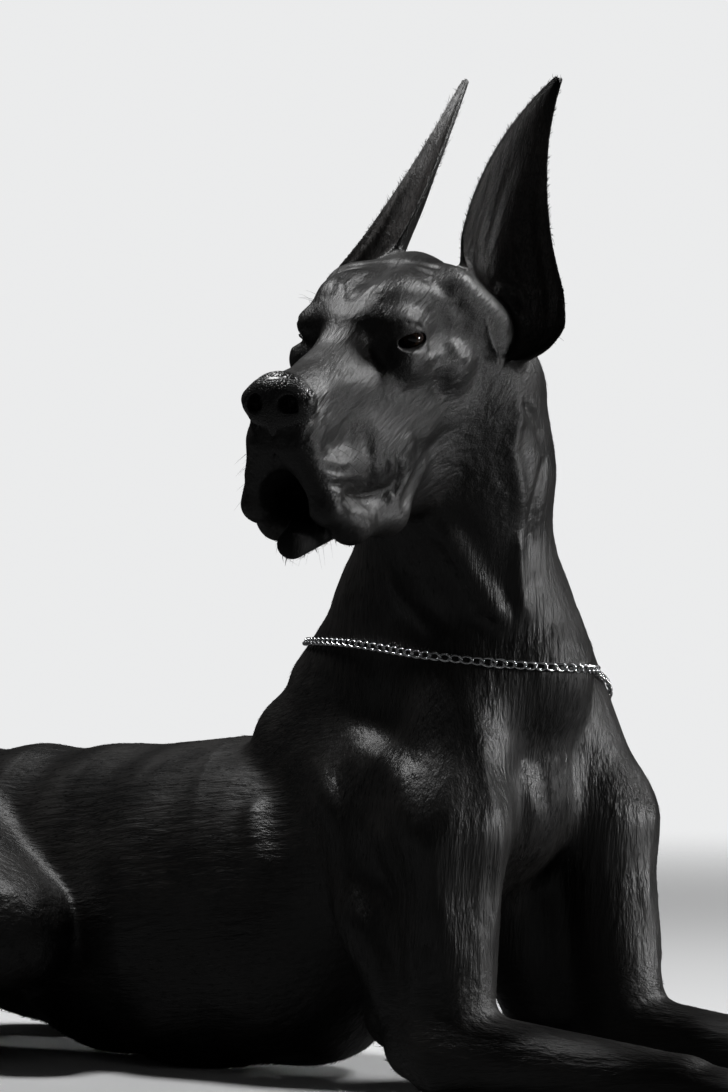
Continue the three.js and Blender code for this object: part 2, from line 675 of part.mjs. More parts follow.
        if (stamp[a] !== sa || stamp[b] !== sb || this.sharedNeighbours(a, b) !== 2) continue;
        if (this.fits(a, b, x, y, z) && this.fits(b, a, x, y, z)) left -= this.collapse(a, b, x, y, z);
        else this.refuse(edge);
      }
      heap.items.length = 0;
      this.sliver /= 2;
    }
    const index = new Map(), points = [], triangles = [];
    for (let i = 0; i < alive.length; i++) {
      if (!alive[i]) continue;
      triangles.push([0, 1, 2].map(k => {
        const v = t[3 * i + k];
        if (!index.has(v)) index.set(v, points.push([...this.p.subarray(3 * v, 3 * v + 3)]) - 1);
        return index.get(v);
      }));
    }
    return { points, triangles };
  }
}

const simplify = (mesh, target) => new Simplifier(mesh).reduce(target);

// Solids: manifold-3d joins and cuts them
function solidOf({ points, triangles }) {
  const vertProperties = new Float32Array(points.flat());
  const triVerts = new Uint32Array(triangles.flat());
  return new wasm.Manifold(new wasm.Mesh({ numProp: 3, vertProperties, triVerts }));
}

function solidOfGeometry(geometry) {
  const bare = geometry.clone();
  bare.deleteAttribute('normal');
  bare.deleteAttribute('uv');
  const merged = mergeVertices(bare.index ? bare.toNonIndexed() : bare, 1e-4);
  const vertProperties = new Float32Array(merged.attributes.position.array);
  const triVerts = new Uint32Array(merged.index.array);
  return new wasm.Manifold(new wasm.Mesh({ numProp: 3, vertProperties, triVerts }));
}

function geometryOf(solid) {
  const pieces = solid.decompose();
  pieces.sort((a, b) => b.volume() - a.volume());
  const mesh = pieces[0].getMesh();
  const geometry = new THREE.BufferGeometry();
  geometry.setAttribute('position', new THREE.BufferAttribute(new Float32Array(mesh.vertProperties), 3));
  geometry.setIndex(new THREE.BufferAttribute(new Uint32Array(mesh.triVerts), 1));
  return geometry;
}

// Everything on the far side of a plane, as a large block. The face through the point looks along the normal.
const FAR_SIDE = 5000;
function beyond(point, normal, shift = 0) {
  const n = new THREE.Vector3(...normal).normalize();
  const block = new THREE.BoxGeometry(FAR_SIDE, FAR_SIDE, FAR_SIDE);
  block.translate(0, 0, FAR_SIDE / 2 + shift);
  block.applyQuaternion(new THREE.Quaternion().setFromUnitVectors(new THREE.Vector3(0, 0, 1), n));
  block.translate(...point);
  return solidOfGeometry(block);
}

// The region between planes, each given as a point and the normal that looks out of the region
function region(planes, grow = 0) {
  let solid = solidOfGeometry(new THREE.BoxGeometry(4000, 4000, 4000));
  for (const [point, normal] of planes) solid = solid.subtract(beyond(point, normal, grow));
  return solid;
}
const within = (solid, planes) => solid.intersect(region(planes, -GAP / 2));
const without = (solid, ...regions) => regions.reduce((left, planes) => left.subtract(region(planes, GAP / 2)), solid);

// Where the body is parted
const outOfHead = (p, n) => {
  const tip = headFrame.out(n);
  return [headFrame.out(p), sub(tip, headFrame.at)];
};
const HEAD_CUT = outOfHead([-210, 0, 2], [-0.774, 0, -0.634]);
const NECK_CUT = [[-45, -15, 388], [-0.25, 0.1, -0.96]];
const turnAbout = ([point, normal]) => [point, mul(normal, -1)];
const FLOOR = [[0, 0, 0], [0, 0, -1]];

const armRegion = s => {
  const dx = s > 0 ? 30 : 0;
  return [
    [[0, s * 85, 260], [0, -s * 0.973, 0.232]],
    [[-130 + dx, 0, 330], [-0.94, 0, -0.34]],
    [[0, 0, 92], [0, 0, -1]], [[0, 0, 326], [0, 0, 1]],
  ];
};
const forearmRegion = s => [
  [[0, s * 20, 0], [0, -s, 0]], [[elbowAt(s)[0] - 76, 0, 0], [-1, 0, 0]],
  [[0, 0, 92], [0, 0, 1]], [[wristAt(s)[0] + 8, 0, 0], [1, 0, 0]],
];
const pawRegion = s => [[[0, s * 20, 0], [0, -s, 0]], [[wristAt(s)[0] + 8, 0, 0], [-1, 0, 0]], [[0, 0, 120], [0, 0, 1]]];
const innerThigh = s => [[-590, s * 110, 0], [0.19, -s, 0]];
const thighRegion = s => [innerThigh(s), [[-600, 0, 88], [0.08, 0, -1]], [[0, 0, 300], [0, 0, 1]], [[-830, 0, 0], [-1, 0, 0]]];
const shankRegion = s => [innerThigh(s), [[-600, 0, 88], [-0.08, 0, 1]], [[-830, 0, 0], [-1, 0, 0]]];
const hindFootRegion = s => [innerThigh(s), [[-690, 0, 40], [-0.167, 0, 1]], [[-690, 0, 0], [-1, 0, 0]]];
const trunkRegion = (front, rear) => [[[front, 0, 0], [1, 0, 0]], [[rear, 0, 0], [-1, 0, 0]], turnAbout(NECK_CUT)];
const noseRegion = [outOfHead([150, 0, -28], [-1, 0, 0.12]), outOfHead([0, 0, -54], [0, 0, -1])];
const jawRegion = [
  outOfHead([20, 0, 0], [-1, 0, 0]), outOfHead([0, 0, -128], [0, 0, 1]),
  outOfHead([0, 25, 0], [0, 1, 0]), outOfHead([0, -25, 0], [0, -1, 0]),
];
const TAIL_CUTS = [[[-850, 0, 0], [1, 0, 0]], [[-940, 36, 60], [1, 0, 0.4]], [[-1095, 128, 14], [0.78, -0.62, 0]]];
const earRegion = (s, ear) => {
  const axis = unit(sub(ear.tip, ear.base));
  return [
    outOfHead(add(ear.base, mul(axis, EAR_CUT)), mul(axis, -1)),
    outOfHead([-127, s * 56, 51], [0.17, -s * 0.68, -0.71]),
  ];
};

// The surfaces are laid out at the fineness each of them needs
const dog = dogField();
const side = ([point, normal]) => {
  const n = unit(normal);
  return (x, y, z) => (x - point[0]) * n[0] + (y - point[1]) * n[1] + (z - point[2]) * n[2];
};
const MARGIN = 25;
const pastHeadCut = side(HEAD_CUT);
const bodySurface = (x, y, z) => Math.max(dog(x, y, z), -pastHeadCut(x, y, z) - MARGIN, x - wristAt(1)[0] - MARGIN);
const headSurface = (x, y, z) => Math.max(dog(x, y, z), pastHeadCut(x, y, z) - MARGIN);
const solidFrom = (field, lo, hi, cell, count) => solidOf(simplify(polygonise(field, lo, hi, cell), count));

const standing = solid => solid.subtract(beyond(...FLOOR));
const body = standing(solidFrom(bodySurface, [-1290, -300, -30], [400, 360, 830], 10, 4000));
const skull = solidFrom(headSurface, [-120, -520, 440], [420, 60, 860], 3.4, 3100);

function earSolid(s, ear) {
  const leaf = new Body(headFrame).add(8, earLeaf(s, ear)).field();
  const corners = [ear.base, ear.tip].map(p => headFrame.out(p));
  const lo = [0, 1, 2].map(i => Math.min(...corners.map(c => c[i])) - 75);
  const hi = [0, 1, 2].map(i => Math.max(...corners.map(c => c[i])) + 75);
  return within(solidFrom(leaf, lo, hi, 2.6, 620), earRegion(s, ear));
}

function footSolid(at, [back, front, inner, outer, height], count) {
  const s = Math.sign(at[1]);
  const ys = [at[1] - s * inner, at[1] + s * outer];
  const lo = [at[0] - back, Math.min(...ys), -12], hi = [at[0] + front, Math.max(...ys), height];
  return standing(solidFrom(dog, lo, hi, 3.5, count));
}

// Eyes: each a ball in a socket that follows it
const EYE_FACETS = [14, 9];
const eyeBall = (s, radius) => {
  const ball = new THREE.SphereGeometry(radius, ...EYE_FACETS);
  ball.translate(...headFrame.out(flip(EYE_AT, s)));
  return solidOfGeometry(ball);
};

// The chain round the base of the neck: level at the front and on the right, hanging lower on the left
const CHAIN_CENTRE = [-14, -22];
const CHAIN_LINKS = 76;
const CHAIN_WIDTH = 8, CHAIN_THICK = 4.5, CHAIN_BED = 1;
const chainHeight = a => 424 - 14 * Math.cos(a - radians(20)) - 68 * Math.exp(-(((a - radians(85)) / radians(28)) ** 2));
function chainBed(a) {
  const z = chainHeight(a);
  let lo = 60, hi = 260;
  for (let r = lo; r < hi; r += 2) {
    if (dog(CHAIN_CENTRE[0] + r * Math.cos(a), CHAIN_CENTRE[1] + r * Math.sin(a), z) > 0) {
      hi = r;
      break;
    }
    lo = r;
  }
  for (let i = 0; i < 20; i++) {
    const r = (lo + hi) / 2;
    if (dog(CHAIN_CENTRE[0] + r * Math.cos(a), CHAIN_CENTRE[1] + r * Math.sin(a), z) > 0) hi = r;
    else lo = r;
  }
  return [CHAIN_CENTRE[0] + lo * Math.cos(a), CHAIN_CENTRE[1] + lo * Math.sin(a), z];
}

function chainSolid(perLink, grow) {
  const count = CHAIN_LINKS * perLink;
  const beds = Array.from({ length: count }, (_, i) => chainBed(-Math.PI + 2 * Math.PI * i / count));
  const points = [], triangles = [];
  beds.forEach((bed, i) => {
    const e = 2;
    const slope = [0, 1, 2].map(k => {
      const q = bed.map((v, j) => v + (j === k ? e : 0));
      return dog(...q) - dog(...bed);
    });
    const along = unit(sub(beds[(i + 1) % count], beds[(i + count - 1) % count]));
    const out = unit(sub(slope, mul(along, dot(slope, along))));
    const up = cross(along, out);
    const narrow = i % perLink ? 0.74 : 1;
    const w = CHAIN_WIDTH / 2 * narrow + grow, h = CHAIN_THICK / 2 + grow;
    const mid = add(bed, mul(out, CHAIN_THICK / 2 - CHAIN_BED));
    points.push(
      add(mid, mul(out, h)), add(mid, mul(up, w)), add(mid, mul(out, -h)), add(mid, mul(up, -w)),
    );
    const next = (i + 1) % count;
    for (let k = 0; k < 4; k++) {
      const a = 4 * i + k, b = 4 * i + (k + 1) % 4, c = 4 * next + k, d = 4 * next + (k + 1) % 4;
      triangles.push([a, c, b], [b, c, d]);
    }
  });
  const solid = solidOf({ points, triangles });
  return solid.volume() > 0 ? solid : solidOf({ points, triangles: triangles.map(([a, b, c]) => [a, c, b]) });
}

const coat = new THREE.MeshStandardMaterial({ color: 0x16140f, roughness: 0.45, metalness: 0 });
const leather = new THREE.MeshStandardMaterial({ color: 0x0b0a0a, roughness: 0.35, metalness: 0 });
const iris = new THREE.MeshStandardMaterial({ color: 0x3a2414, roughness: 0.08, metalness: 0 });
const steel = new THREE.MeshStandardMaterial({ color: 0xb9bcc0, roughness: 0.22, metalness: 1 });

const group = new THREE.Group();
function node(name, solid, material) {
  const mesh = new THREE.Mesh(geometryOf(solid), material);
  mesh.name = name;
  mesh.geometry.translate(...mul(BREAST_REST, -1));
  group.add(mesh);
}

const groove = chainSolid(1, GAP * 3);
const SIDES = [['left', 1], ['right', -1]];
const sockets = SIDES.map(([, s]) => eyeBall(s, EYE_RADIUS + GAP));
const open = sockets.reduce((left, ball) => left.subtract(ball), within(skull, [HEAD_CUT]));
const earRegions = SIDES.map(([name, s]) => earRegion(s, EARS[name]));
node('head', without(open, noseRegion, jawRegion, ...earRegions), coat);
node('lower_jaw', within(skull, [...jawRegion, HEAD_CUT]), coat);
node('nose', within(skull, noseRegion), leather);
for (const [name, s] of SIDES) {
  node(`eye_${name}`, eyeBall(s, EYE_RADIUS), iris);
  node(`ear_${name}`, earSolid(s, EARS[name]), coat);
}
node('neck', without(within(body, [turnAbout(HEAD_CUT), NECK_CUT]), ...earRegions).subtract(groove), coat);
const limbs = SIDES.flatMap(([, s]) => [armRegion(s), forearmRegion(s), thighRegion(s), shankRegion(s)]);
node('chest', without(within(body, trunkRegion(200, -330)), ...limbs).subtract(groove), coat);
node('loin', without(within(body, trunkRegion(-330, -640)), ...limbs), coat);
node('rump', without(within(body, trunkRegion(-640, -850)), ...limbs), coat);
for (const [name, s] of SIDES) {
  node(`upper_arm_${name}`, within(body, armRegion(s)).subtract(groove), coat);
  node(`forearm_${name}`, within(body, forearmRegion(s)), coat);
  node(`forepaw_${name}`, within(footSolid(wristAt(s), [6, 190, 62, 62, 84], 440), pawRegion(s)), coat);
  node(`thigh_${name}`, within(body, thighRegion(s)), coat);
  node(`shank_${name}`, without(within(body, shankRegion(s)), hindFootRegion(s)), coat);
  node(`hind_foot_${name}`, within(footSolid(flip(HOCK, s), [-20, 250, 60, 75, 78], 380), hindFootRegion(s)), coat);
}
const [tailA, tailB, tailC] = TAIL_CUTS;
node('tail_root', within(body, [tailA, turnAbout(tailB)]), coat);
node('tail_middle', within(body, [tailB, turnAbout(tailC)]), coat);
node('tail_tip', within(body, [tailC]), coat);
node('collar_chain', chainSolid(2, 0), steel);

export default group;
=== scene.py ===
"""Looks of a black great dane that lies on its breast with its head up, and of its steel chain collar.

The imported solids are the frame. One skin replaces the nodes of flesh: it is laid out from the same named
forms, in millimetres from a point on the floor between the elbows, and ends in metres in the frame's axes.
"""

import logging
import math
from concurrent.futures import ThreadPoolExecutor
from dataclasses import dataclass, field
from enum import Enum
from typing import Callable, Iterable, Sequence

import bpy
import numpy as np
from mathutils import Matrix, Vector
from mathutils.bvhtree import BVHTree
from numpy.linalg import norm


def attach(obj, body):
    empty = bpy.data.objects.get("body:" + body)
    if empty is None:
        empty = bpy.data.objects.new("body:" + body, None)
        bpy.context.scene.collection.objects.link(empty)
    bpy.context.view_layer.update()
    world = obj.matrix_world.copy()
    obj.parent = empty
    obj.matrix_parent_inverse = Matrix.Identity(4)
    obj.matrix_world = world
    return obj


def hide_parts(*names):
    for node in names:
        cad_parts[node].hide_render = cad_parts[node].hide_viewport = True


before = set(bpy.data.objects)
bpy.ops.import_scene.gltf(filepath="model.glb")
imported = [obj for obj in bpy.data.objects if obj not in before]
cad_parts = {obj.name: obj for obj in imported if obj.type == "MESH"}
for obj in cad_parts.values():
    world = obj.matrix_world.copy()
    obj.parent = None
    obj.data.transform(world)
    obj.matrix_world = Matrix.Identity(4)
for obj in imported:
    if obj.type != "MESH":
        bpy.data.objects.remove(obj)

log = logging.getLogger("great_dane")

# Driving dimensions, in millimetres and degrees. Places are from the point on the floor between the elbows.
BREAST_REST = (-312.0, 0.0, 0.0)  # the frame's origin
SHOULDER_Z = 256.0
ELBOW_Z = 47.0
ARM_Y = 112.0
LEFT_ADVANCE = 46.0
FOREARM_LENGTH = 245.0
WITHERS_X = -205.0
HIP = (-690.0, 72.0, 222.0)
STIFLE = (-468.0, 168.0, 142.0)
HOCK = (-722.0, 172.0, 50.0)
HEAD_AT = (75.0, -290.0, 708.0)
HEAD_YAW, HEAD_PITCH, HEAD_ROLL = -78.0, 15.0, -4.5
EYE_AT = (-18.0, 46.0, 0.0)  # the left eye and its gaze, in the head's axes
EYE_RADIUS = 12.5
GAZE = (0.86, 0.5, -0.05)
MOUTH = ((186, -3, -103), (164, -3, -162))  # the front opening, from under the nose to the chin
MOUTH_INSIDE = ((152, -2, -114), (80, 0, -120))
EAR_THICK = 5.0
EARS_ABOVE = 550.0  # no ear reaches below this height, and no part of the head below the next
HEAD_ABOVE = 450.0
FAR = 90.0  # beyond this from a group's box, the distance to the box stands for its own
STROKES_WITHIN = 30.0  # strokes act this close to the surface
NOWHERE = 1e6  # longer than any distance
TINY = 1e-6
SIDES = (1.0, -1.0)
TO_METRES = 0.001
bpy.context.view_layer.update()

Array = np.ndarray
Point = Sequence[float]
Colour = tuple[float, float, float]
Piece = bpy.types.Object
Material = bpy.types.Material
Socket = bpy.types.NodeSocket
Tree = bpy.types.NodeTree


def unit(v: Point) -> Array:
    """The direction of a vector."""
    v = np.asarray(v, float)
    return v / norm(v)


def flip(p: Point, side: float) -> Array:
    """A point given for the dog's left, on the side asked for."""
    return np.array([p[0], p[1] * side, p[2]], float)


def smooth_step(lo: float, hi: float, t: Array) -> Array:
    """0 below lo, 1 above hi, and a smooth rise between."""
    s = np.clip((t - lo) / (hi - lo), 0.0, 1.0)
    return s * s * (3.0 - 2.0 * s)


def mix(a: float | Array, b: float | Array, t: float | Array) -> float | Array:
    """The value a part t of the way from a to b."""
    return a + (b - a) * t


def join(a: Array, b: Array, blend: float) -> Array:
    """Two distances melted together over a blend width."""
    h = np.maximum(blend - np.abs(a - b), 0.0) / blend
    return np.minimum(a, b) - h * h * blend / 4


def cut(a: Array, b: Array, blend: float) -> Array:
    """What two distances share, with the edge rounded over a blend width."""
    h = np.maximum(blend - np.abs(a - b), 0.0) / blend
    return np.maximum(a, b) + h * h * blend / 4


def to_frame(p: Array) -> Array:
    """Points in the frame's metres, from millimetres between the elbows."""
    return (np.asarray(p, float) - np.array(BREAST_REST)) * TO_METRES


@dataclass(frozen=True)
class Axes:
    """A local frame: its origin, and rows that look forward, left and up."""

    at: Array
    rows: Array

    @staticmethod
    def looking(at: Point, forward: Point, up: Point) -> "Axes":
        """Axes from the way they look.

        Args:
            at: the origin.
            forward: the way they look.
            up: roughly the way that is up.

        Returns:
            The axes.
        """
        f = unit(forward)
        left = unit(np.cross(up, f))
        return Axes(np.asarray(at, float), np.stack([f, left, np.cross(f, left)]))

    @staticmethod
    def turned(at: Point, yaw: float, pitch: float, roll: float) -> "Axes":
        """Axes from turns in degrees.

        Args:
            at: the origin.
            yaw: the turn about z.
            pitch: the turn nose down.
            roll: the turn about the way they look.

        Returns:
            The axes.
        """
        y, p, r = (math.radians(v) for v in (yaw, pitch, roll))
        forward = (math.cos(y) * math.cos(p), math.sin(y) * math.cos(p), -math.sin(p))
        level = Axes.looking(at, forward, (0, 0, 1))
        f, left, up = level.rows
        return Axes(level.at, np.stack([f, math.cos(r) * left + math.sin(r) * up,
                                        math.cos(r) * up - math.sin(r) * left]))

    def into(self, p: Array) -> Array:
        """World points in these axes."""
        return (p - self.at.astype(p.dtype)) @ self.rows.T.astype(p.dtype)

    def out(self, p: Point) -> Array:
        """Points in these axes, in the world."""
        return np.asarray(p, float) @ self.rows + self.at


HEAD = Axes.turned(HEAD_AT, HEAD_YAW, HEAD_PITCH, HEAD_ROLL)


@dataclass(frozen=True)
class Egg:
    """An ellipsoid with its half lengths, along its own rows if it has them."""

    centre: Point
    radii: Point
    rows: Array | None = None

    @property
    def at(self) -> Array:
        """The middle of the ball that holds it."""
        return np.asarray(self.centre, float)

    @property
    def reach(self) -> float:
        """The radius of that ball."""
        return max(self.radii)

    def distance(self, p: Array) -> Array:
        """Distance from points to the surface, negative inside.

        Args:
            p: points.

        Returns:
            One distance each.
        """
        q = p - self.at.astype(p.dtype)
        if self.rows is not None:
            q = q @ self.rows.T.astype(p.dtype)
        q = q / np.asarray(self.radii, p.dtype)
        k0 = np.sqrt((q * q).sum(1))
        q = q / np.asarray(self.radii, p.dtype)
        k1 = np.sqrt((q * q).sum(1))
        return k0 * (k0 - 1) / np.maximum(k1, TINY)


@dataclass(frozen=True)
class Limb:
    """A tapered limb from a to b, whose section is wa and wb times as wide along the direction tall."""

    a: Point
    b: Point
    ra: float
    rb: float
    wa: float = 1.0
    wb: float = 1.0
    tall: Point | None = None

    @property
    def at(self) -> Array:
        """The middle of the ball that holds it."""
        return (np.asarray(self.a, float) + np.asarray(self.b, float)) / 2

    @property
    def reach(self) -> float:
        """The radius of that ball."""
        half = norm(np.asarray(self.b, float) - np.asarray(self.a, float)) / 2
        return half + max(self.ra * max(self.wa, 1), self.rb * max(self.wb, 1))

    def distance(self, p: Array) -> Array:
        """Distance from points to the surface, negative inside.

        Args:
            p: points.

        Returns:
            One distance each.
        """
        a = np.asarray(self.a, p.dtype)
        d = np.asarray(self.b, p.dtype) - a
        q = p - a
        t = np.clip(q @ (d / (d @ d)), 0, 1)
        q = q - t[:, None] * d
        if self.tall is not None:
            axis = unit(d)
            m = unit(np.asarray(self.tall, float) - axis * np.dot(self.tall, axis)).astype(p.dtype)
            w = self.wa + (self.wb - self.wa) * t
            q = q - ((q @ m) * (1 - 1 / w))[:, None] * m
        return np.sqrt((q * q).sum(1)) - (self.ra + (self.rb - self.ra) * t)


@dataclass(frozen=True)
class EarLeaf:
    """One cropped ear, as a bent leaf with a hollow face, in the head's axes.

    k is the part of the length up the leaf, and t the distance across it towards its rear edge.
    """

    side: float
    base: Point
    tip: Point
    across: Point
    width: float = 56.0
    bend: float = -100.0
    cup_at_base: float = 34.0
    cup_at_tip: float = 5.0
    set_in: float = 14.0
    root: float = 42.0
    widest: float = 0.14  # the part of the length where it is widest, and how it narrows below and above
    foot: float = 0.34
    blade: float = 0.86
    taper: float = 0.97
    base_thick: float = 1.9  # thickness at the base and from there up, against EAR_THICK
    blade_thick: float = 0.8
    front_cut: float = 0.5  # how far the front edge draws back at the base
    edge_slope: float = 0.8
    edge_round: float = 2.0

    @property
    def long(self) -> float:
        """Length along the axis."""
        return float(norm(np.subtract(self.tip, self.base)))

    @property
    def at(self) -> Array:
        """The middle of the ball that holds it."""
        return (np.asarray(self.base, float) + np.asarray(self.tip, float)) / 2

    @property
    def reach(self) -> float:
        """The radius of that ball."""
        return self.long / 2 + self.width * 1.25

    @property
    def rows(self) -> Array:
        """Directions up the leaf, across it and out of its hollow face."""
        axis = unit(np.subtract(self.tip, self.base))
        left = unit(np.asarray(self.across, float) - axis * np.dot(self.across, axis))
        return np.stack([axis, left, np.cross(left, axis) * self.side])

    def half(self, k: Array) -> Array:
        """Half the leaf's width.

        Args:
            k: parts of its length.

        Returns:
            The width there.
        """
        bell = np.sqrt(np.maximum(0.09, 1 - ((self.widest - k) / self.foot) ** 2))
        blade = np.maximum(1 - (k - self.widest) / self.blade, 0) ** self.taper + k / 14
        return self.width * np.where(k < self.widest, bell, blade)

    def cup(self, k: Array) -> Array:
        """Depth of the hollow at a part k of the length."""
        return mix(self.cup_at_base, self.cup_at_tip, smooth_step(-0.1, 0.8, k))

    def place(self, p: Array) -> tuple[Array, Array, Array, Array]:
        """Where points in the head's axes stand on the leaf.

        Args:
            p: points in the head's axes.

        Returns:
            The part of the length, the distance across from the bent middle, the height off the
            sheet and half the width there.
        """
        q = (p - np.asarray(self.base, p.dtype)) @ self.rows.T.astype(p.dtype)
        k = np.clip(q[:, 0] / self.long, -0.2, 1)
        t = q[:, 1] - self.bend * np.maximum(k, 0) * (1 - k)
        w = self.half(k)
        c = self.cup(k)
        r = np.minimum(np.abs(t / w), 1.3)
        slope = 2 * c * r / w
        lift = (q[:, 2] - self.set_in + c * (1 - r * r)) / np.sqrt(1 + slope * slope)
        return q[:, 0] / self.long, t, lift, w

    def on(self, k: float, r: float) -> Array:
        """A point of the hollow face.

        Args:
            k: the part of the length.
            r: the part of the half width, above 0 towards the rear edge.

        Returns:
            The point, in the head's axes.
        """
        c = self.cup(np.array(k))
        t = r * float(self.half(np.array(k))) + self.bend * max(k, 0) * (1 - k)
        q = np.array([k * self.long, t, self.set_in - c * (1 - r * r) + EAR_THICK / 2])
        return np.asarray(self.base, float) + q @ self.rows

    def distance(self, p: Array) -> Array:
        """Distance from points to the surface, negative inside.

        Args:
            p: points.

        Returns:
            One distance each.
        """
        along, t, lift, w = self.place(p)
        thick = EAR_THICK / 2 * mix(self.base_thick, self.blade_thick, smooth_step(-0.05, 0.35, along))
        sheet = np.abs(lift) - thick
        s = along * self.long
        front = 1 - self.front_cut * (t < 0) * smooth_step(0.24, -0.06, along)
        edge = (np.abs(t) - w * front) * self.edge_slope
        ends = np.maximum(s - self.long, -s - self.root)
        return cut(cut(sheet, edge, self.edge_round), ends, self.edge_round)


@dataclass(frozen=True)
class Stroke:
    """A ridge (height above 0) or crease (below 0) that runs through points on the surface."""

    points: tuple[Point, ...]
    height: float
    width: float
    ends: float = 0.22  # the part of the length over which it fades at each end, and how much is left there
    left: float = 0.12
    spread: float = 2.6  # how many widths away it ends

    @property
    def at(self) -> Array:
        """The middle of the ball that holds it."""
        return np.mean(np.asarray(self.points, float), 0)

    @property
    def reach(self) -> float:
        """The radius of that ball."""
        away = norm(np.asarray(self.points, float) - self.at, axis=1)
        return float(away.max()) + self.spread * self.width

    def lift(self, p: Array) -> Array:
        """How far the stroke lifts the surface.

        Args:
            p: points.

        Returns:
            The lift at each.
        """
        pts = np.asarray(self.points, p.dtype)
        steps = norm(np.diff(pts, axis=0), axis=1)
        starts = np.concatenate([[0], np.cumsum(steps)])
        best = np.full(len(p), NOWHERE, p.dtype)
        where = np.zeros(len(p), p.dtype)
        for i, step in enumerate(steps):
            d = pts[i + 1] - pts[i]
            q = p - pts[i]
            t = np.clip(q @ (d / (d @ d)), 0, 1)
            q = q - t[:, None] * d
            near = (q * q).sum(1)
            closer = near < best
            best = np.where(closer, near, best)
            where = np.where(closer, starts[i] + t * step, where)
        where /= starts[-1]
        fade = np.clip(np.minimum(where, 1 - where) / self.ends + self.left, 0, 1)
        return self.height * fade * np.exp(-best / self.width ** 2)


@dataclass
class Melt:
    """A list of forms melted into one in their order, with strokes drawn on the result."""

    axes: Axes | None = None
    parts: list = field(default_factory=list)
    strokes: list[Stroke] = field(default_factory=list)
    mirrored: bool = False

    def add(self, blend: float, form: Egg | Limb | EarLeaf) -> "Melt":
        """Joins a form."""
        self.parts.append((blend, form, False))
        return self

    def carve(self, blend: float, form: Egg | Limb | EarLeaf) -> "Melt":
        """Cuts a form out."""
        self.parts.append((blend, form, True))
        return self

    def chain(self, blend: float, stations: list, tall: Point) -> "Melt":
        """Joins limbs from station to station, each a point, a radius and a width."""
        for (a, ra, wa), (b, rb, wb) in zip(stations, stations[1:]):
            self.add(blend, Limb(a, b, ra, rb, wa, wb, tall))
        return self

    def box(self) -> tuple[Array, Array]:
        """Lowest and highest corner that the forms reach, in their own axes."""
        at = np.array([form.at for _, form, _ in self.parts])
        reach = np.array([form.reach for _, form, _ in self.parts])[:, None]
        return (at - reach).min(0), (at + reach).max(0)

    def distance(self, points: Array) -> Array:
        """Distance to the melted surface.

        Args:
            points: points in the world.

        Returns:
            The distance of each, negative inside.
        """
        q = points if self.axes is None else self.axes.into(points)
        lo, hi = self.box()
        away = np.maximum(np.maximum(lo - q, q - hi), 0)
        out = np.sqrt((away * away).sum(1)).astype(points.dtype)
        near = np.flatnonzero(out <= FAR)
        if len(near):
            out[near] = self.melted(q[near])
        return out

    def melted(self, q: Array) -> Array:
        """The same near the forms, without the short cut for points far away.

        Args:
            q: points in the forms' own axes.

        Returns:
            The distance of each, negative inside.
        """
        d = np.full(len(q), NOWHERE, q.dtype)
        for blend, form, hollow in self.parts:
            gap = ((q - form.at.astype(q.dtype)) ** 2).sum(1)
            reach = (-d if hollow else d) + blend + form.reach
            hit = np.flatnonzero((reach > 0) & (gap <= reach * reach))
            if not len(hit):
                continue
            e = form.distance(q[hit])
            d[hit] = cut(d[hit], -e, blend) if hollow else join(d[hit], e, blend)
        if self.strokes:
            r = q.copy()
            if self.mirrored:
                r[:, 1] = np.abs(r[:, 1])
            close = np.abs(d) < STROKES_WITHIN
            for stroke in self.strokes:
                gap = ((r - stroke.at.astype(q.dtype)) ** 2).sum(1)
                hit = np.flatnonzero(close & (gap <= stroke.reach ** 2))
                if len(hit):
                    d[hit] -= stroke.lift(r[hit])
        return d


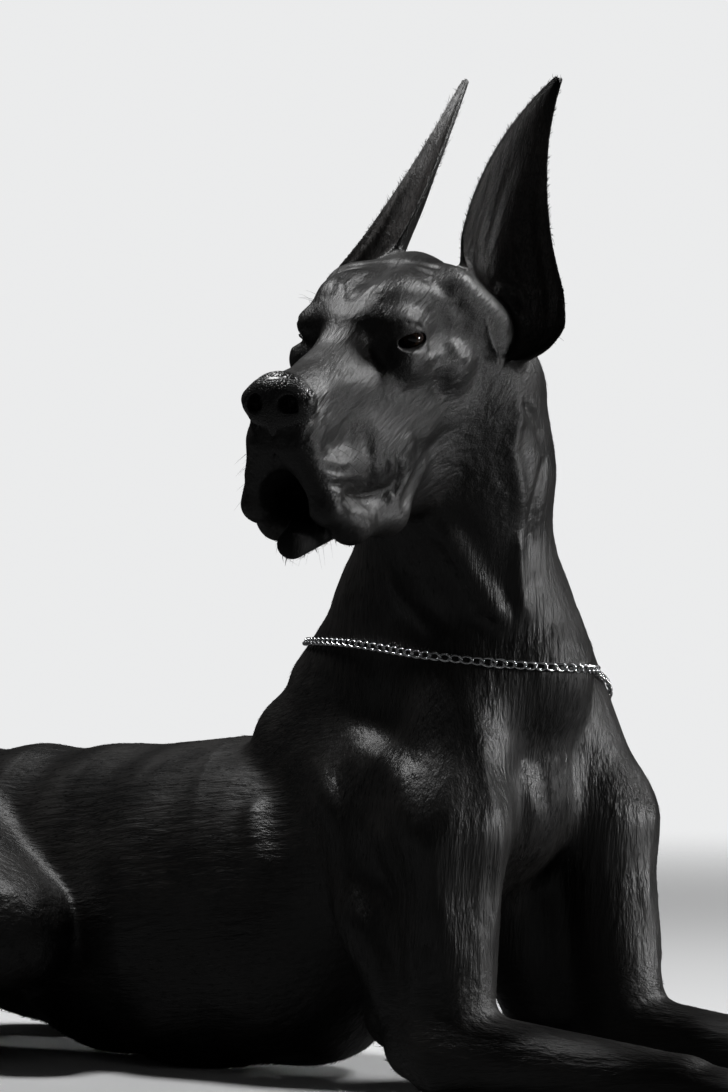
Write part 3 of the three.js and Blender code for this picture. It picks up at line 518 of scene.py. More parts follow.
HEAD_STROKES = (
    # The crease behind the lip and the folds of the upper lip
    Stroke(((80, 46, -64), (87, 50, -91), (84, 47, -122), (98, 45, -145)), -2.2, 6.0),
    Stroke(((156, 37, -74), (136, 43, -78), (112, 46, -84)), -2.0, 3.2),
    Stroke(((154, 38, -86), (138, 45, -91), (111, 49, -96)), -2.6, 3.4),
    Stroke(((153, 40, -101), (134, 46, -105), (107, 48, -110)), -2.8, 3.6),
    Stroke(((146, 42, -117), (126, 48, -121), (106, 48, -125)), -2.4, 3.4),
    Stroke(((70, 50, -78), (62, 54, -104), (68, 54, -132), (80, 48, -150)), -2.6, 4.0),
    Stroke(((52, 53, -86), (44, 57, -110), (48, 56, -140)), -2.1, 4.2),
    # The corner of the lips
    Stroke(((44, 56, -148), (16, 59, -130), (-10, 60, -114), (-30, 60, -104)), -4.5, 6.5),
    Stroke(((58, 52, -140), (30, 58, -122), (8, 58, -106)), 2.2, 6.0),
    # The side and the top edge of the muzzle
    Stroke(((51, 45, -42), (86, 42, -50), (112, 37, -62)), -2.2, 9.0),
    Stroke(((60, 33, -22), (100, 31, -24), (138, 30, -27)), 1.4, 8.0),
    # The socket: above the eye, before it, and the edge of the brow
    Stroke(((16, 20, 26), (13, 27, 38), (2, 44, 38), (-26, 57, 28), (-52, 64, 8)), -3.2, 13.0),
    Stroke(((24, 21, 22), (27, 27, -2), (34, 42, -24)), -2.4, 9.0),
    Stroke(((-38, 39, 52), (-50, 53, 40), (-69, 68, 8), (-57, 72, -18)), 1.6, 9.0),
    # The fold of the upper lid, and two under the lower lid
    Stroke(((16, 43, 13), (4, 54, 16), (-12, 60, 11), (-26, 63, 2)), -1.5, 2.6),
    Stroke(((16, 36, -12), (6, 50, -18), (-14, 60, -17), (-34, 64, -12)), -1.7, 3.6),
    Stroke(((20, 34, -22), (8, 50, -29), (-14, 62, -28), (-36, 67, -22)), -1.1, 4.2),
    # The furrow of the brow, the middle of the forehead, and the groove under the nose
    Stroke(((20, 10, 31), (9, 13, 40), (-8, 18, 51), (-34, 20, 58)), -2.3, 3.8),
    Stroke(((8, 2, 34), (-16, 5, 46), (-40, 6, 52)), -1.8, 3.0),
    Stroke(((174, 0, -44), (168, 0, -60), (168, 0, -76), (170, 0, -90)), -3.0, 2.8),
    # The wrinkles of the forehead
    Stroke(((-64, 2, 60), (-62, 22, 58), (-56, 40, 52)), -2.5, 3.6),
    Stroke(((-78, 0, 60), (-77, 24, 58), (-70, 46, 50)), -2.7, 3.8),
    Stroke(((-94, 0, 60), (-92, 26, 58), (-86, 48, 50)), -2.4, 3.8),
    # The cheek bone, and the hollows before and under the cheek
    Stroke(((-48, 70, 4), (-58, 72, -14), (-54, 75, -34), (-52, 70, -60)), 1.3, 10.0),
    Stroke(((-28, 67, -30), (-34, 70, -46), (-34, 66, -64)), -1.6, 10.0),
    Stroke(((-10, 60, -112), (-56, 66, -100), (-90, 80, -88), (-116, 92, -72)), -3.6, 11.0),
    # The temple
    Stroke(((-66, 62, 22), (-96, 66, 10), (-120, 74, -8)), -2.4, 10.0),
)

NECK_STROKES = (
    Stroke(((137, -128, 668), (136, -122, 648), (129, -124, 614), (127, -108, 574), (124, -101, 548)),
           4.2, 9.0),
    Stroke(((122, -98, 540), (113, -86, 494), (109, -74, 452)), 4.0, 9.0),
    Stroke(((139, -120, 660), (136, -92, 640), (132, -74, 626)), -4.2, 6.5),
    Stroke(((132, -72, 612), (131, -80, 585), (128, -84, 560), (119, -72, 520)), -4.5, 7.0),
    Stroke(((58, -166, 552), (72, -147, 530), (84, -113, 485), (100, -82, 446)), 6.0, 11.0),
    Stroke(((36, -160, 540), (56, -142, 505), (74, -118, 465), (88, -96, 430)), -4.5, 9.0),
    Stroke(((84, -152, 556), (100, -126, 520), (108, -98, 480), (110, -86, 450)), -4.0, 9.0),
    Stroke(((-20, -140, 510), (4, -128, 474), (40, -120, 440)), 3.6, 9.0),
    Stroke(((8, -144, 520), (30, -132, 478), (58, -116, 436)), -2.6, 7.0),
    Stroke(((104, -160, 600), (96, -168, 580), (80, -176, 566)), -3.0, 9.0),
)

ARM_STROKES = (
    Stroke(((-125, -98, 384), (-60, -116, 348), (30, -163, 304), (63, -170, 242), (64, -162, 197),
            (70, -155, 150), (45, -158, 112)), 6.5, 17.0),
    Stroke(((-110, -116, 330), (-50, -140, 300), (10, -168, 258), (24, -168, 205), (26, -160, 160)),
           -5.0, 18.0),
    Stroke(((69, -116, 391), (85, -114, 344), (100, -119, 297), (107, -112, 241), (97, -104, 189),
            (94, -108, 140)), 3.5, 9.0),
    Stroke(((92, -140, 320), (96, -146, 260), (92, -142, 205), (88, -140, 160)), -2.6, 12.0),
    Stroke(((-84, -128, 330), (-50, -153, 270), (-36, -147, 212), (-12, -146, 158), (10, -148, 112)),
           -4.0, 10.0),
    Stroke(((88, -138, 124), (100, -130, 98), (116, -134, 82)), -2.6, 8.0),
)

BREAST_STROKES = (
    Stroke(((80, -98, 410), (91, -91, 362), (95, -84, 319), (100, -72, 285), (98, -62, 240)), -5.5, 7.5),
    Stroke(((78, -74, 415), (92, -66, 366), (98, -52, 318), (93, -34, 275), (80, -22, 236)), 5.5, 10.0),
    Stroke(((84, -50, 400), (96, -38, 350), (97, -22, 305), (88, -8, 262)), -5.0, 8.0),
    Stroke(((96, -14, 318), (98, 12, 334), (99, 45, 340), (101, 70, 338), (106, 92, 330)), 4.6, 7.5),
    Stroke(((98, 20, 316), (101, 48, 320), (104, 74, 316)), -4.0, 9.0),
    Stroke(((-196, -112, 285), (-182, -128, 250), (-160, -134, 205)), 5.0, 14.0),
    Stroke(((-160, -122, 300), (-146, -134, 250), (-126, -140, 200)), -4.0, 12.0),
)

# Folds of the ear's hollow: a path in parts of the length and of the half width, its height and its width
EAR_FOLDS = (
    (((0.06, -0.30), (0.14, 0.0), (0.12, 0.35), (0.04, 0.50)), 4.0, 5.0),
    (((0.04, -0.25), (0.02, 0.05), (-0.04, 0.35)), 3.5, 4.5),
    (((0.10, -0.10), (0.07, 0.15), (0.01, 0.30)), -3.0, 5.0),
    (((0.30, 0.10), (0.24, 0.32), (0.16, 0.50)), 2.2, 4.0),
    (((-0.05, -0.80), (0.10, -0.74), (0.30, -0.66), (0.52, -0.60)), 2.6, 5.0),
    (((-0.04, 0.82), (0.12, 0.80), (0.34, 0.74), (0.60, 0.70)), 2.0, 4.5),
    (((0.20, -0.30), (0.40, -0.22), (0.62, -0.10)), 1.6, 5.0),
)


@dataclass
class DogShape:
    """The dog's surface, in millimetres from a point on the floor between the elbows."""

    coat_depth: float = 1.6
    ear_depth: float = 0.5
    lid_thick: float = 2.4
    ear_blend: float = 14.0
    floor_round: float = 3.0
    toes: tuple[float, ...] = (-33, -12, 11, 32)
    ear_forms: tuple[EarLeaf, ...] = (
        EarLeaf(1.0, (-150, 88, 0), (-285, 85, 205), (-0.66, 0.67, -0.35)),
        EarLeaf(-1.0, (-150, -80, 0), (-320, -13, 196), (-0.5, -0.8, -0.3)),
    )

    def __post_init__(self) -> None:
        """Lays out every form, with the width over which each group melts into the trunk."""
        self.bodies = [(self.neck(), 60.0), (self.forelegs(), 26.0), (self.hindlegs(), 24.0),
                       (self.feet(), 10.0), (self.tail(), 40.0)]
        self.trunk = self.torso()
        self.head_part = self.head()
        self.ears = Melt(HEAD)
        for leaf in self.ear_forms:
            self.ears.add(8, leaf)
            for path, height, width in EAR_FOLDS:
                points = tuple(tuple(leaf.on(k, r)) for k, r in path)
                self.ears.strokes.append(Stroke(points, height, width))

    def head(self) -> Melt:
        """The head in its own axes, from between the eyes."""
        h = Melt(HEAD, mirrored=True)
        # Skull, nape, forehead and the inside of the cheeks
        h.add(10, Egg((-95, 0, 2), (95, 62, 56)))
        h.add(30, Limb((-130, 0, 30), (-186, 0, 22), 26, 16))
        h.add(30, Egg((-30, 0, 8), (52, 42, 36)))
        h.add(20, Egg((-45, 0, -55), (62, 34, 52)))
        for s in SIDES:
            # Brow, edge of the brow, lower edge of the socket, cheek bone, jaw muscle and root of the ear
            h.add(34, Egg((-30, s * 25, 18), (46, 28, 31)))
            h.add(16, Egg((-4, s * 44, 13), (18, 15, 12)))
            h.add(18, Egg((0, s * 48, -18), (20, 15, 15)))
            h.add(20, Limb((2, s * 46, -20), (-72, s * 60, -34), 14, 15))
            h.add(20, Limb((-72, s * 60, -34), (-125, s * 60, -20), 15, 16))
            h.add(24, Egg((-75, s * 42, -62), (58, 27, 60)))
            h.add(30, Limb((-100, s * 50, 24), (-138, s * 60, -12), 28, 34))
        # Furrow between the brows, bridge of the muzzle, its deep middle, and the slope up to the forehead
        h.carve(18, Limb((20, 0, 40), (-80, 0, 66), 8, 8))
        h.add(22, Limb((10, 0, -24), (150, 0, -27), 25, 23))
        h.add(22, Limb((20, 0, -62), (140, 0, -58), 40, 35))
        h.add(20, Limb((62, 0, -22), (-14, 0, 10), 22, 28))
        for s in SIDES:
            # Sides of the muzzle, the hanging upper lip from front to back, and its corner
            h.add(26, Limb((-6, s * 26, -42), (80, s * 14, -42), 26, 22))
            h.add(26, Limb((-14, s * 32, -82), (60, s * 26, -86), 30, 28))
            h.add(14, Limb((156, s * 17, -66), (143, s * 33, -124), 17, 14))
            h.add(14, Limb((143, s * 33, -124), (102, s * 36, -147), 14, 18))
            h.add(14, Limb((100, s * 34, -146), (35, s * 37, -150), 18, 20))
            h.add(18, Limb((130, s * 26, -95), (30, s * 36, -105), 20, 26))
            h.add(20, Limb((35, s * 37, -150), (-12, s * 42, -118), 20, 16))
        # Throat, then the opening of the mouth and the lower jaw in it
        h.add(24, Limb((40, 0, -135), (-90, 0, -110), 30, 45))
        h.add(24, Limb((60, 0, -140), (-60, 0, -130), 28, 50))
        h.carve(5, Limb(*MOUTH, 19, 30))
        h.carve(7, Limb(*MOUTH_INSIDE, 20, 14))
        h.add(6, Limb((145, -1, -158), (40, 0, -144), 14.5, 25, 1.05, 1.1, (0, 1, 0)))
        for s in SIDES:
            h.carve(4, Limb((142, s * 23, -168), (40, s * 26, -180), 3, 3))
        # Nose, its wings, and the nostrils with their slits
        h.add(10, Egg((158, 0, -28), (18, 31, 27)))
        for s in SIDES:
            h.add(6, Egg((158, s * 27, -27), (14, 9.5, 11.5)))
            h.carve(3.5, Egg((174, s * 15.5, -27), (15, 8.0, 7.8)))
            h.carve(3, Limb((170, s * 20, -31), (160, s * 28, -35), 3.6, 1.8))
        self.eyelids(h)
        h.strokes.extend(HEAD_STROKES)
        return h

    def eyelids(self, h: Melt) -> None:
        """Adds the lids: a ball around each eye, opened in front by a flat egg."""
        for s in SIDES:
            at, look = flip(EYE_AT, s), unit(flip(GAZE, s))
            h.add(8, Egg(at, (EYE_RADIUS + self.lid_thick,) * 3))
            rows = Axes.looking(at, look, (0, 0, 1)).rows
            h.carve(2.5, Egg(at + look * 18, (30, 12.8, 5.3), rows))

    def neck(self) -> Melt:
        """The neck, from between the shoulders up to the back of the skull."""
        rings = (
            ((-75, -6, 335), 100, 1.58, 0), ((-8, -14, 430), 92, 1.52, 0), ((-4, -27, 470), 84, 1.43, -4),
            ((9, -49, 525), 77, 1.32, -12), ((33, -72, 600), 83.5, 1.2, -45), ((56, -100, 668), 81, 1.2, -75),
        )
        n = Melt(strokes=list(NECK_STROKES))
        for (a, ra, wa, ta), (b, rb, wb, tb) in zip(rings, rings[1:]):
            turn = math.radians((ta + tb) / 2)
            n.add(30, Limb(a, b, ra, rb, wa, wb, (math.cos(turn), math.sin(turn), 0)))
        return n

    def torso(self) -> Melt:
        """Chest, belly and rump."""
        t = Melt(strokes=list(BREAST_STROKES))
        return t.chain(30, [
            ((-5, 0, 268), 88, 0.8), ((-110, 0, 226), 122, 0.92), ((-230, 0, 178), 137, 1.21),
            ((-350, 0, 164), 139, 1.19), ((-470, 0, 168), 119, 1.32), ((-590, 0, 182), 104, 1.36),
            ((-700, 0, 188), 100, 1.32), ((-775, 0, 188), 74, 1.24),
        ], (0, 0, 1))

    def shoulder(self, side: float) -> Array:
        """The shoulder joint."""
        return np.array([48 + (22 if side > 0 else 0), side * ARM_Y, SHOULDER_Z])

    def elbow(self, side: float) -> Array:
        """The elbow joint."""
        return np.array([56 + (LEFT_ADVANCE if side > 0 else 0), side * ARM_Y, ELBOW_Z])

    def wrist(self, side: float) -> Array:
        """The wrist joint."""
        return self.elbow(side) + (FOREARM_LENGTH, -side * 12, -14)

    def forelegs(self) -> Melt:
        """Shoulder blades, upper arms and forearms."""
        b = Melt(strokes=[])
        for s in SIDES:
            sh, el, wr = self.shoulder(s), self.elbow(s), self.wrist(s)
            b.add(40, Limb((WITHERS_X, s * 40, 345), sh + (-20, -s * 4, 10), 34, 58))
            b.add(34, Limb((27, s * 61, 414), sh + (0, 0, 10), 60, 50))
            b.add(30, Limb(sh, el + (-8, 0, 34), 54, 44))
            b.add(40, Limb(sh + (-118, -s * 6, 24), el + (-94, -s * 4, 120), 37, 38))
            b.add(24, Limb(el + (-94, -s * 4, 120), el + (-40, 0, 16), 38, 30))
            b.add(30, Limb((-10, s * 60, 190), el + (-86, -s * 30, 32), 55, 40))
            b.add(20, Limb(el + (-46, 0, 2), el, 31, 44))
            b.add(20, Limb(el, wr, 45, 31))
            ahead = LEFT_ADVANCE * 0.7 if s > 0 else 0.0
            for stroke in ARM_STROKES:
                path = tuple((x + ahead, -s * y, z) for x, y, z in stroke.points)
                b.strokes.append(Stroke(path, stroke.height, stroke.width))
        return b

    def hindlegs(self) -> Melt:
        """Thighs and shanks."""
        b = Melt()
        for s in SIDES:
            hip, st, ho = (flip(p, s) for p in (HIP, STIFLE, HOCK))
            b.add(40, Limb(hip, st, 96, 60))
            b.add(30, Limb(hip + (-60, s * 10, -50), st + (-120, s * 5, -30), 76, 60))
            b.add(24, Limb(st, ho, 50, 25))
            edge = (hip + (150, s * 96, 30), st + (20, s * 44, 50),
                    st + (55, s * 10, 0), st + (40, -s * 10, -60))
            fold = (st + (-30, s * 56, 10), st + (-110, s * 50, -16), ho + (90, s * 40, 40))
            b.strokes.append(Stroke(edge, 5.0, 18.0))
            b.strokes.append(Stroke(fold, -4.0, 16.0))
        return b

    def foot(self, b: Melt, start: Array, knuckle: Array) -> None:
        """Adds a foot that lies on the floor.

        Args:
            b: the forms it joins.
            start: the wrist or the hock.
            knuckle: the middle of the toes' roots.
        """
        way = unit(knuckle - start)
        left = unit(np.cross((0, 0, 1), way))
        b.add(14, Limb(start, knuckle, 28, 26, 1, 1.35, left))
        for joint, tip, root in self.toe_points(start, knuckle):
            b.add(9, Limb(root, joint, 16, 15))
            b.add(7, Limb(joint, tip, 14.5, 12))

    def toe_points(self, start: Array, knuckle: Array) -> list[tuple[Array, Array, Array]]:
        """The toes of a foot.

        Args:
            start: the wrist or the hock.
            knuckle: the middle of the toes' roots.

        Returns:
            The middle joint, the tip and the root of each toe.
        """
        way = unit(knuckle - start)
        left = unit(np.cross((0, 0, 1), way))
        made = []
        for i, y in enumerate(self.toes):
            long = 1.0 if i in (1, 2) else 0.72
            joint = knuckle + way * 30 * long + left * y + (0, 0, 8)
            tip = knuckle + way * 64 * long + left * y * 1.1 + (0, 0, -12)
            made.append((joint, tip, knuckle + left * y * 0.8))
        return made

    def foot_ends(self) -> list[tuple[Array, Array]]:
        """Where each of the four feet starts and where its knuckles are."""
        ends = []
        for s in SIDES:
            wr = self.wrist(s)
            ends.append((wr, wr + (82, -s * 2, -9)))
            ho = flip(HOCK, s)
            ends.append((ho + (4, 0, -22), ho + (150, s * 14, -26)))
        return ends

    def feet(self) -> Melt:
        """The four feet."""
        b = Melt()
        for start, knuckle in self.foot_ends():
            self.foot(b, start, knuckle)
        return b

    def tail(self) -> Melt:
        """The tail, down from the croup and round to the dog's left on the floor."""
        stations = (
            ((-800, 0, 232), 40), ((-862, 8, 172), 31), ((-912, 24, 92), 25), ((-968, 50, 36), 20),
            ((-1050, 96, 16), 17), ((-1140, 160, 12), 14), ((-1215, 240, 9), 11), ((-1262, 322, 6), 7),
        )
        return Melt().chain(9, [(p, r, 1) for p, r in stations], (0, 0, 1))

    def bare(self, p: Array) -> Array:
        """Distance to the dog's outline without its ears.

        Args:
            p: points.

        Returns:
            The distance of each, negative inside.
        """
        d = self.trunk.distance(p)
        for body, blend in self.bodies:
            d = join(d, body.distance(p), blend)
        high = p[:, 2] > HEAD_ABOVE
        if high.any():
            d[high] = join(d[high], self.head_part.distance(p[high]), 30)
        return d

    def distance(self, p: Array) -> Array:
        """Distance to the skin, which lies under the coat and is flat where it rests on the floor.

        Args:
            p: points.

        Returns:
            The distance of each, negative inside.
        """
        d = self.bare(p) + self.coat_depth
        high = p[:, 2] > EARS_ABOVE
        if high.any():
            d[high] = join(d[high], self.ears.distance(p[high]) + self.ear_depth, self.ear_blend)
        return cut(d, -p[:, 2], self.floor_round)

    def gradient(self, p: Array, step: float = 0.6) -> Array:
        """The way the distance grows.

        Args:
            p: points.
            step: how far to each side of a point it is read.

        Returns:
            The gradient at each.
        """
        g = np.empty_like(p)
        for axis in range(3):
            shift = np.zeros(3, p.dtype)
            shift[axis] = step
            g[:, axis] = (many(self.distance, p + shift) - many(self.distance, p - shift)) / (2 * step)
        return g

    def settle(self, p: Array, rounds: int = 2, reach: float = 1.5) -> tuple[Array, Array]:
        """Moves points onto the skin.

        Args:
            p: points close to the skin.
            rounds: how many times they are moved.
            reach: the furthest that a point is moved each time.

        Returns:
            The moved points, and the way out of the skin at each.
        """
        for _ in range(rounds):
            g = self.gradient(p)
            length = np.maximum((g * g).sum(1), 0.05)
            step = np.clip(many(self.distance, p) / np.sqrt(length), -reach, reach)
            p = p - (step / np.sqrt(length))[:, None] * g
        g = self.gradient(p)
        return p, g / np.maximum(norm(g, axis=1, keepdims=True), TINY)


def many(distance: Callable[[Array], Array], p: Array, chunk: int = 60000, workers: int = 4) -> Array:
    """Distances at many points, worked out in chunks side by side."""
    starts = range(0, len(p), chunk)
    with ThreadPoolExecutor(workers) as pool:
        return np.concatenate(list(pool.map(lambda i: distance(p[i:i + chunk]), starts)))


@dataclass
class Lattice:
    """A box of cubic cells that samples a distance where the surface is near, and nets the surface."""

    lo: Point
    hi: Point
    cell: float
    block: int = 8
    margin: float = 1.3  # how near to a block's middle the surface has to be, in blocks

    def sample(self, distance: Callable[[Array], Array]) -> Array:
        """Values at the lattice points, exact only in the blocks that the surface may cross.

        Args:
            distance: gives the distance at points.

        Returns:
            The values, by the lattice's three directions.
        """
        blocks = [math.ceil((h - l) / self.cell / self.block) for l, h in zip(self.lo, self.hi)]
        spans = [np.arange(n) for n in blocks]
        ids = np.stack(np.meshgrid(*spans, indexing="ij"), -1).reshape(-1, 3)
        size = self.cell * self.block
        middle = (np.asarray(self.lo) + (ids + 0.5) * size).astype(np.float32)
        rough = many(distance, middle)
        values = np.repeat(rough.reshape(blocks), self.block, 0)
        values = np.repeat(np.repeat(values, self.block, 1), self.block, 2)
        chosen = ids[np.abs(rough) < size * self.margin]
        inner = np.stack(np.meshgrid(*[np.arange(self.block)] * 3, indexing="ij"), -1).reshape(-1, 3)
        points = (chosen[:, None] * self.block + inner[None]).reshape(-1, 3)
        exact = many(distance, (np.asarray(self.lo) + points * self.cell).astype(np.float32))
        values[points[:, 0], points[:, 1], points[:, 2]] = exact
        return values

    def net(self, values: Array) -> tuple[Array, Array]:
        """The surface as a net: one point in each cell that it crosses, and a quad for each crossed edge.

        Args:
            values: distances at the lattice points.

        Returns:
            Points, and quads that look outwards.
        """
        inside = values < 0
        corners = np.array([(i, j, k) for i in (0, 1) for j in (0, 1) for k in (0, 1)])
        n = [s - 1 for s in values.shape]
        total = np.zeros(n, np.int8)
        for i, j, k in corners:
            total += inside[i:i + n[0], j:j + n[1], k:k + n[2]]
        cells = np.flatnonzero((total > 0) & (total < 8))
        ijk = np.stack(np.unravel_index(cells, n), 1)
        held = np.stack([values[tuple((ijk + c).T)] for c in corners], 1)
        place = np.zeros((len(cells), 3))
        count = np.zeros(len(cells))
        for a in range(8):
            for b in range(a + 1, 8):
                if np.abs(corners[a] - corners[b]).sum() != 1:
                    continue
                crossed = (held[:, a] < 0) != (held[:, b] < 0)
                t = held[crossed, a] / (held[crossed, a] - held[crossed, b])
                place[crossed] += corners[a] + t[:, None] * (corners[b] - corners[a])
                count[crossed] += 1
        points = np.asarray(self.lo) + (ijk + place / count[:, None]) * self.cell
        quads = []
        for axis in range(3):
            u, v = [(1, 2), (2, 0), (0, 1)][axis]
            first = inside.take(range(values.shape[axis] - 1), axis)
            second = inside.take(range(1, values.shape[axis]), axis)
            edges = np.stack(np.nonzero(first != second), 1)
            ok = (edges[:, u] > 0) & (edges[:, v] > 0) & (edges[:, u] < n[u]) & (edges[:, v] < n[v])
            edges = edges[ok]
            du, dv = np.eye(3, dtype=int)[u], np.eye(3, dtype=int)[v]
            around = [edges - du - dv, edges - dv, edges, edges - du]
            quad = np.stack([np.searchsorted(cells, np.ravel_multi_index(tuple(c.T), n)) for c in around], 1)
            back = ~first[tuple(edges.T)]
            quad[back] = quad[back][:, ::-1]
            quads.append(quad)
        return points, np.concatenate(quads)


def triangles_of(points: Array, quads: Array) -> Array:
    """Quads cut into triangles along their shorter diagonal.

    Args:
        points: the points.
        quads: four points for each.

    Returns:
        Triangles.
    """
    a, b, c, d = (points[quads[:, k]] for k in range(4))
    short = norm(a - c, axis=1) <= norm(b - d, axis=1)
    first = np.where(short[:, None], quads[:, [0, 1, 2]], quads[:, [1, 2, 3]])
    second = np.where(short[:, None], quads[:, [0, 2, 3]], quads[:, [1, 3, 0]])
    return np.concatenate([first, second])


def open_loop(faces: Array) -> Array:
    """The points round the longest opening of a mesh.

    Args:
        faces: its triangles.

    Returns:
        The points, in the order of the faces' edges.
    """
    edges = np.concatenate([faces[:, [0, 1]], faces[:, [1, 2]], faces[:, [2, 0]]]).astype(np.int64)
    size = int(faces.max()) + 1
    alone = ~np.isin(edges[:, 0] * size + edges[:, 1], edges[:, 1] * size + edges[:, 0])
    following = dict(edges[alone].tolist())
    loops = []
    while following:
        loop = [next(iter(following))]
        while loop[-1] in following:
            loop.append(following.pop(loop[-1]))
        loops.append(loop[:-1])
    return np.array(max(loops, key=len))


def zip_loops(points: Array, lower: Array, upper: Array, centre: Array) -> Array:
    """Triangles that close the gap between two rings that run round the same centre.

    Args:
        points: all points.
        lower: ring that runs with the faces below it.
        upper: ring above, run the other way.
        centre: the middle of both, seen from above.

    Returns:
        Triangles.
    """
    def turned(loop: Array) -> tuple[Array, Array]:
        """Starts a ring at its first angle.

        Args:
            loop: the ring's points.

        Returns:
            The ring, turning left, and its angles.
        """
        angle = np.arctan2(points[loop, 1] - centre[1], points[loop, 0] - centre[0])
        if np.sum(np.diff(np.unwrap(angle))) < 0:
            loop, angle = loop[::-1], angle[::-1]
        first = int(np.argmin(angle))
        loop, angle = np.roll(loop, -first), np.roll(angle, -first)
        return loop, np.maximum.accumulate(angle)

    low, low_angle = turned(lower)
    high, high_angle = turned(upper)
    made = []
    i = j = 0
    while i < len(low) or j < len(high):
        next_low = low_angle[i + 1] if i + 1 < len(low) else math.pi * (3 if i >= len(low) else 1)
        next_high = high_angle[j + 1] if j + 1 < len(high) else math.pi * (3 if j >= len(high) else 1)
        a, b = low[i % len(low)], high[j % len(high)]
        if i < len(low) and (next_low <= next_high or j >= len(high)):
            made.append((a, low[(i + 1) % len(low)], b))
            i += 1
        else:
            made.append((a, high[(j + 1) % len(high)], b))
            j += 1
    return np.array(made)


def mesh_of(name: str, points: Array, faces: Array | list, smooth: bool = True) -> Piece:
    """A mesh object in the frame's metres.

    Args:
        name: the piece's name.
        points: its points in metres.
        faces: its faces, of three or four corners.
        smooth: whether it is shaded smooth.

    Returns:
        The object, linked to the scene.
    """
    mesh = bpy.data.meshes.new(name)
    faces = np.asarray(faces, np.int32)
    sides = faces.shape[1]
    mesh.vertices.add(len(points))
    mesh.vertices.foreach_set("co", np.asarray(points, np.float32).ravel())
    mesh.loops.add(faces.size)
    mesh.loops.foreach_set("vertex_index", faces.ravel())
    mesh.polygons.add(len(faces))
    mesh.polygons.foreach_set("loop_start", np.arange(0, faces.size, sides, dtype=np.int32))
    mesh.polygons.foreach_set("loop_total", np.full(len(faces), sides, np.int32))
    mesh.polygons.foreach_set("use_smooth", np.full(len(faces), smooth))
    mesh.update(calc_edges=True)
    mesh.validate()
    made = bpy.data.objects.new(name, mesh)
    bpy.context.scene.collection.objects.link(made)
    return made


def tube(base: int, rings: int, sides: int, inward: bool = False) -> list[tuple[int, int, int]]:
    """Triangles of an open tube.

    Args:
        base: its first point.
        rings: how many rings of points follow each other.
        sides: how many points a ring has.
        inward: whether the rings run the other way round.

    Returns:
        The triangles.
    """
    made = []
    for i in range(rings - 1):
        for j in range(sides):
            k = (j + 1) % sides
            a, b = base + i * sides, base + (i + 1) * sides
            made += [(a + j, a + k, b + k), (a + j, b + k, b + j)]
    return [face[::-1] for face in made] if inward else made


def baked(piece: Piece) -> None:
    """Applies a piece's modifiers, so that its mesh is plain.

    Args:
        piece: the piece.
    """
    graph = bpy.context.evaluated_depsgraph_get()
    graph.update()
    mesh = bpy.data.meshes.new_from_object(piece.evaluated_get(graph))
    piece.modifiers.clear()
    piece.data = mesh


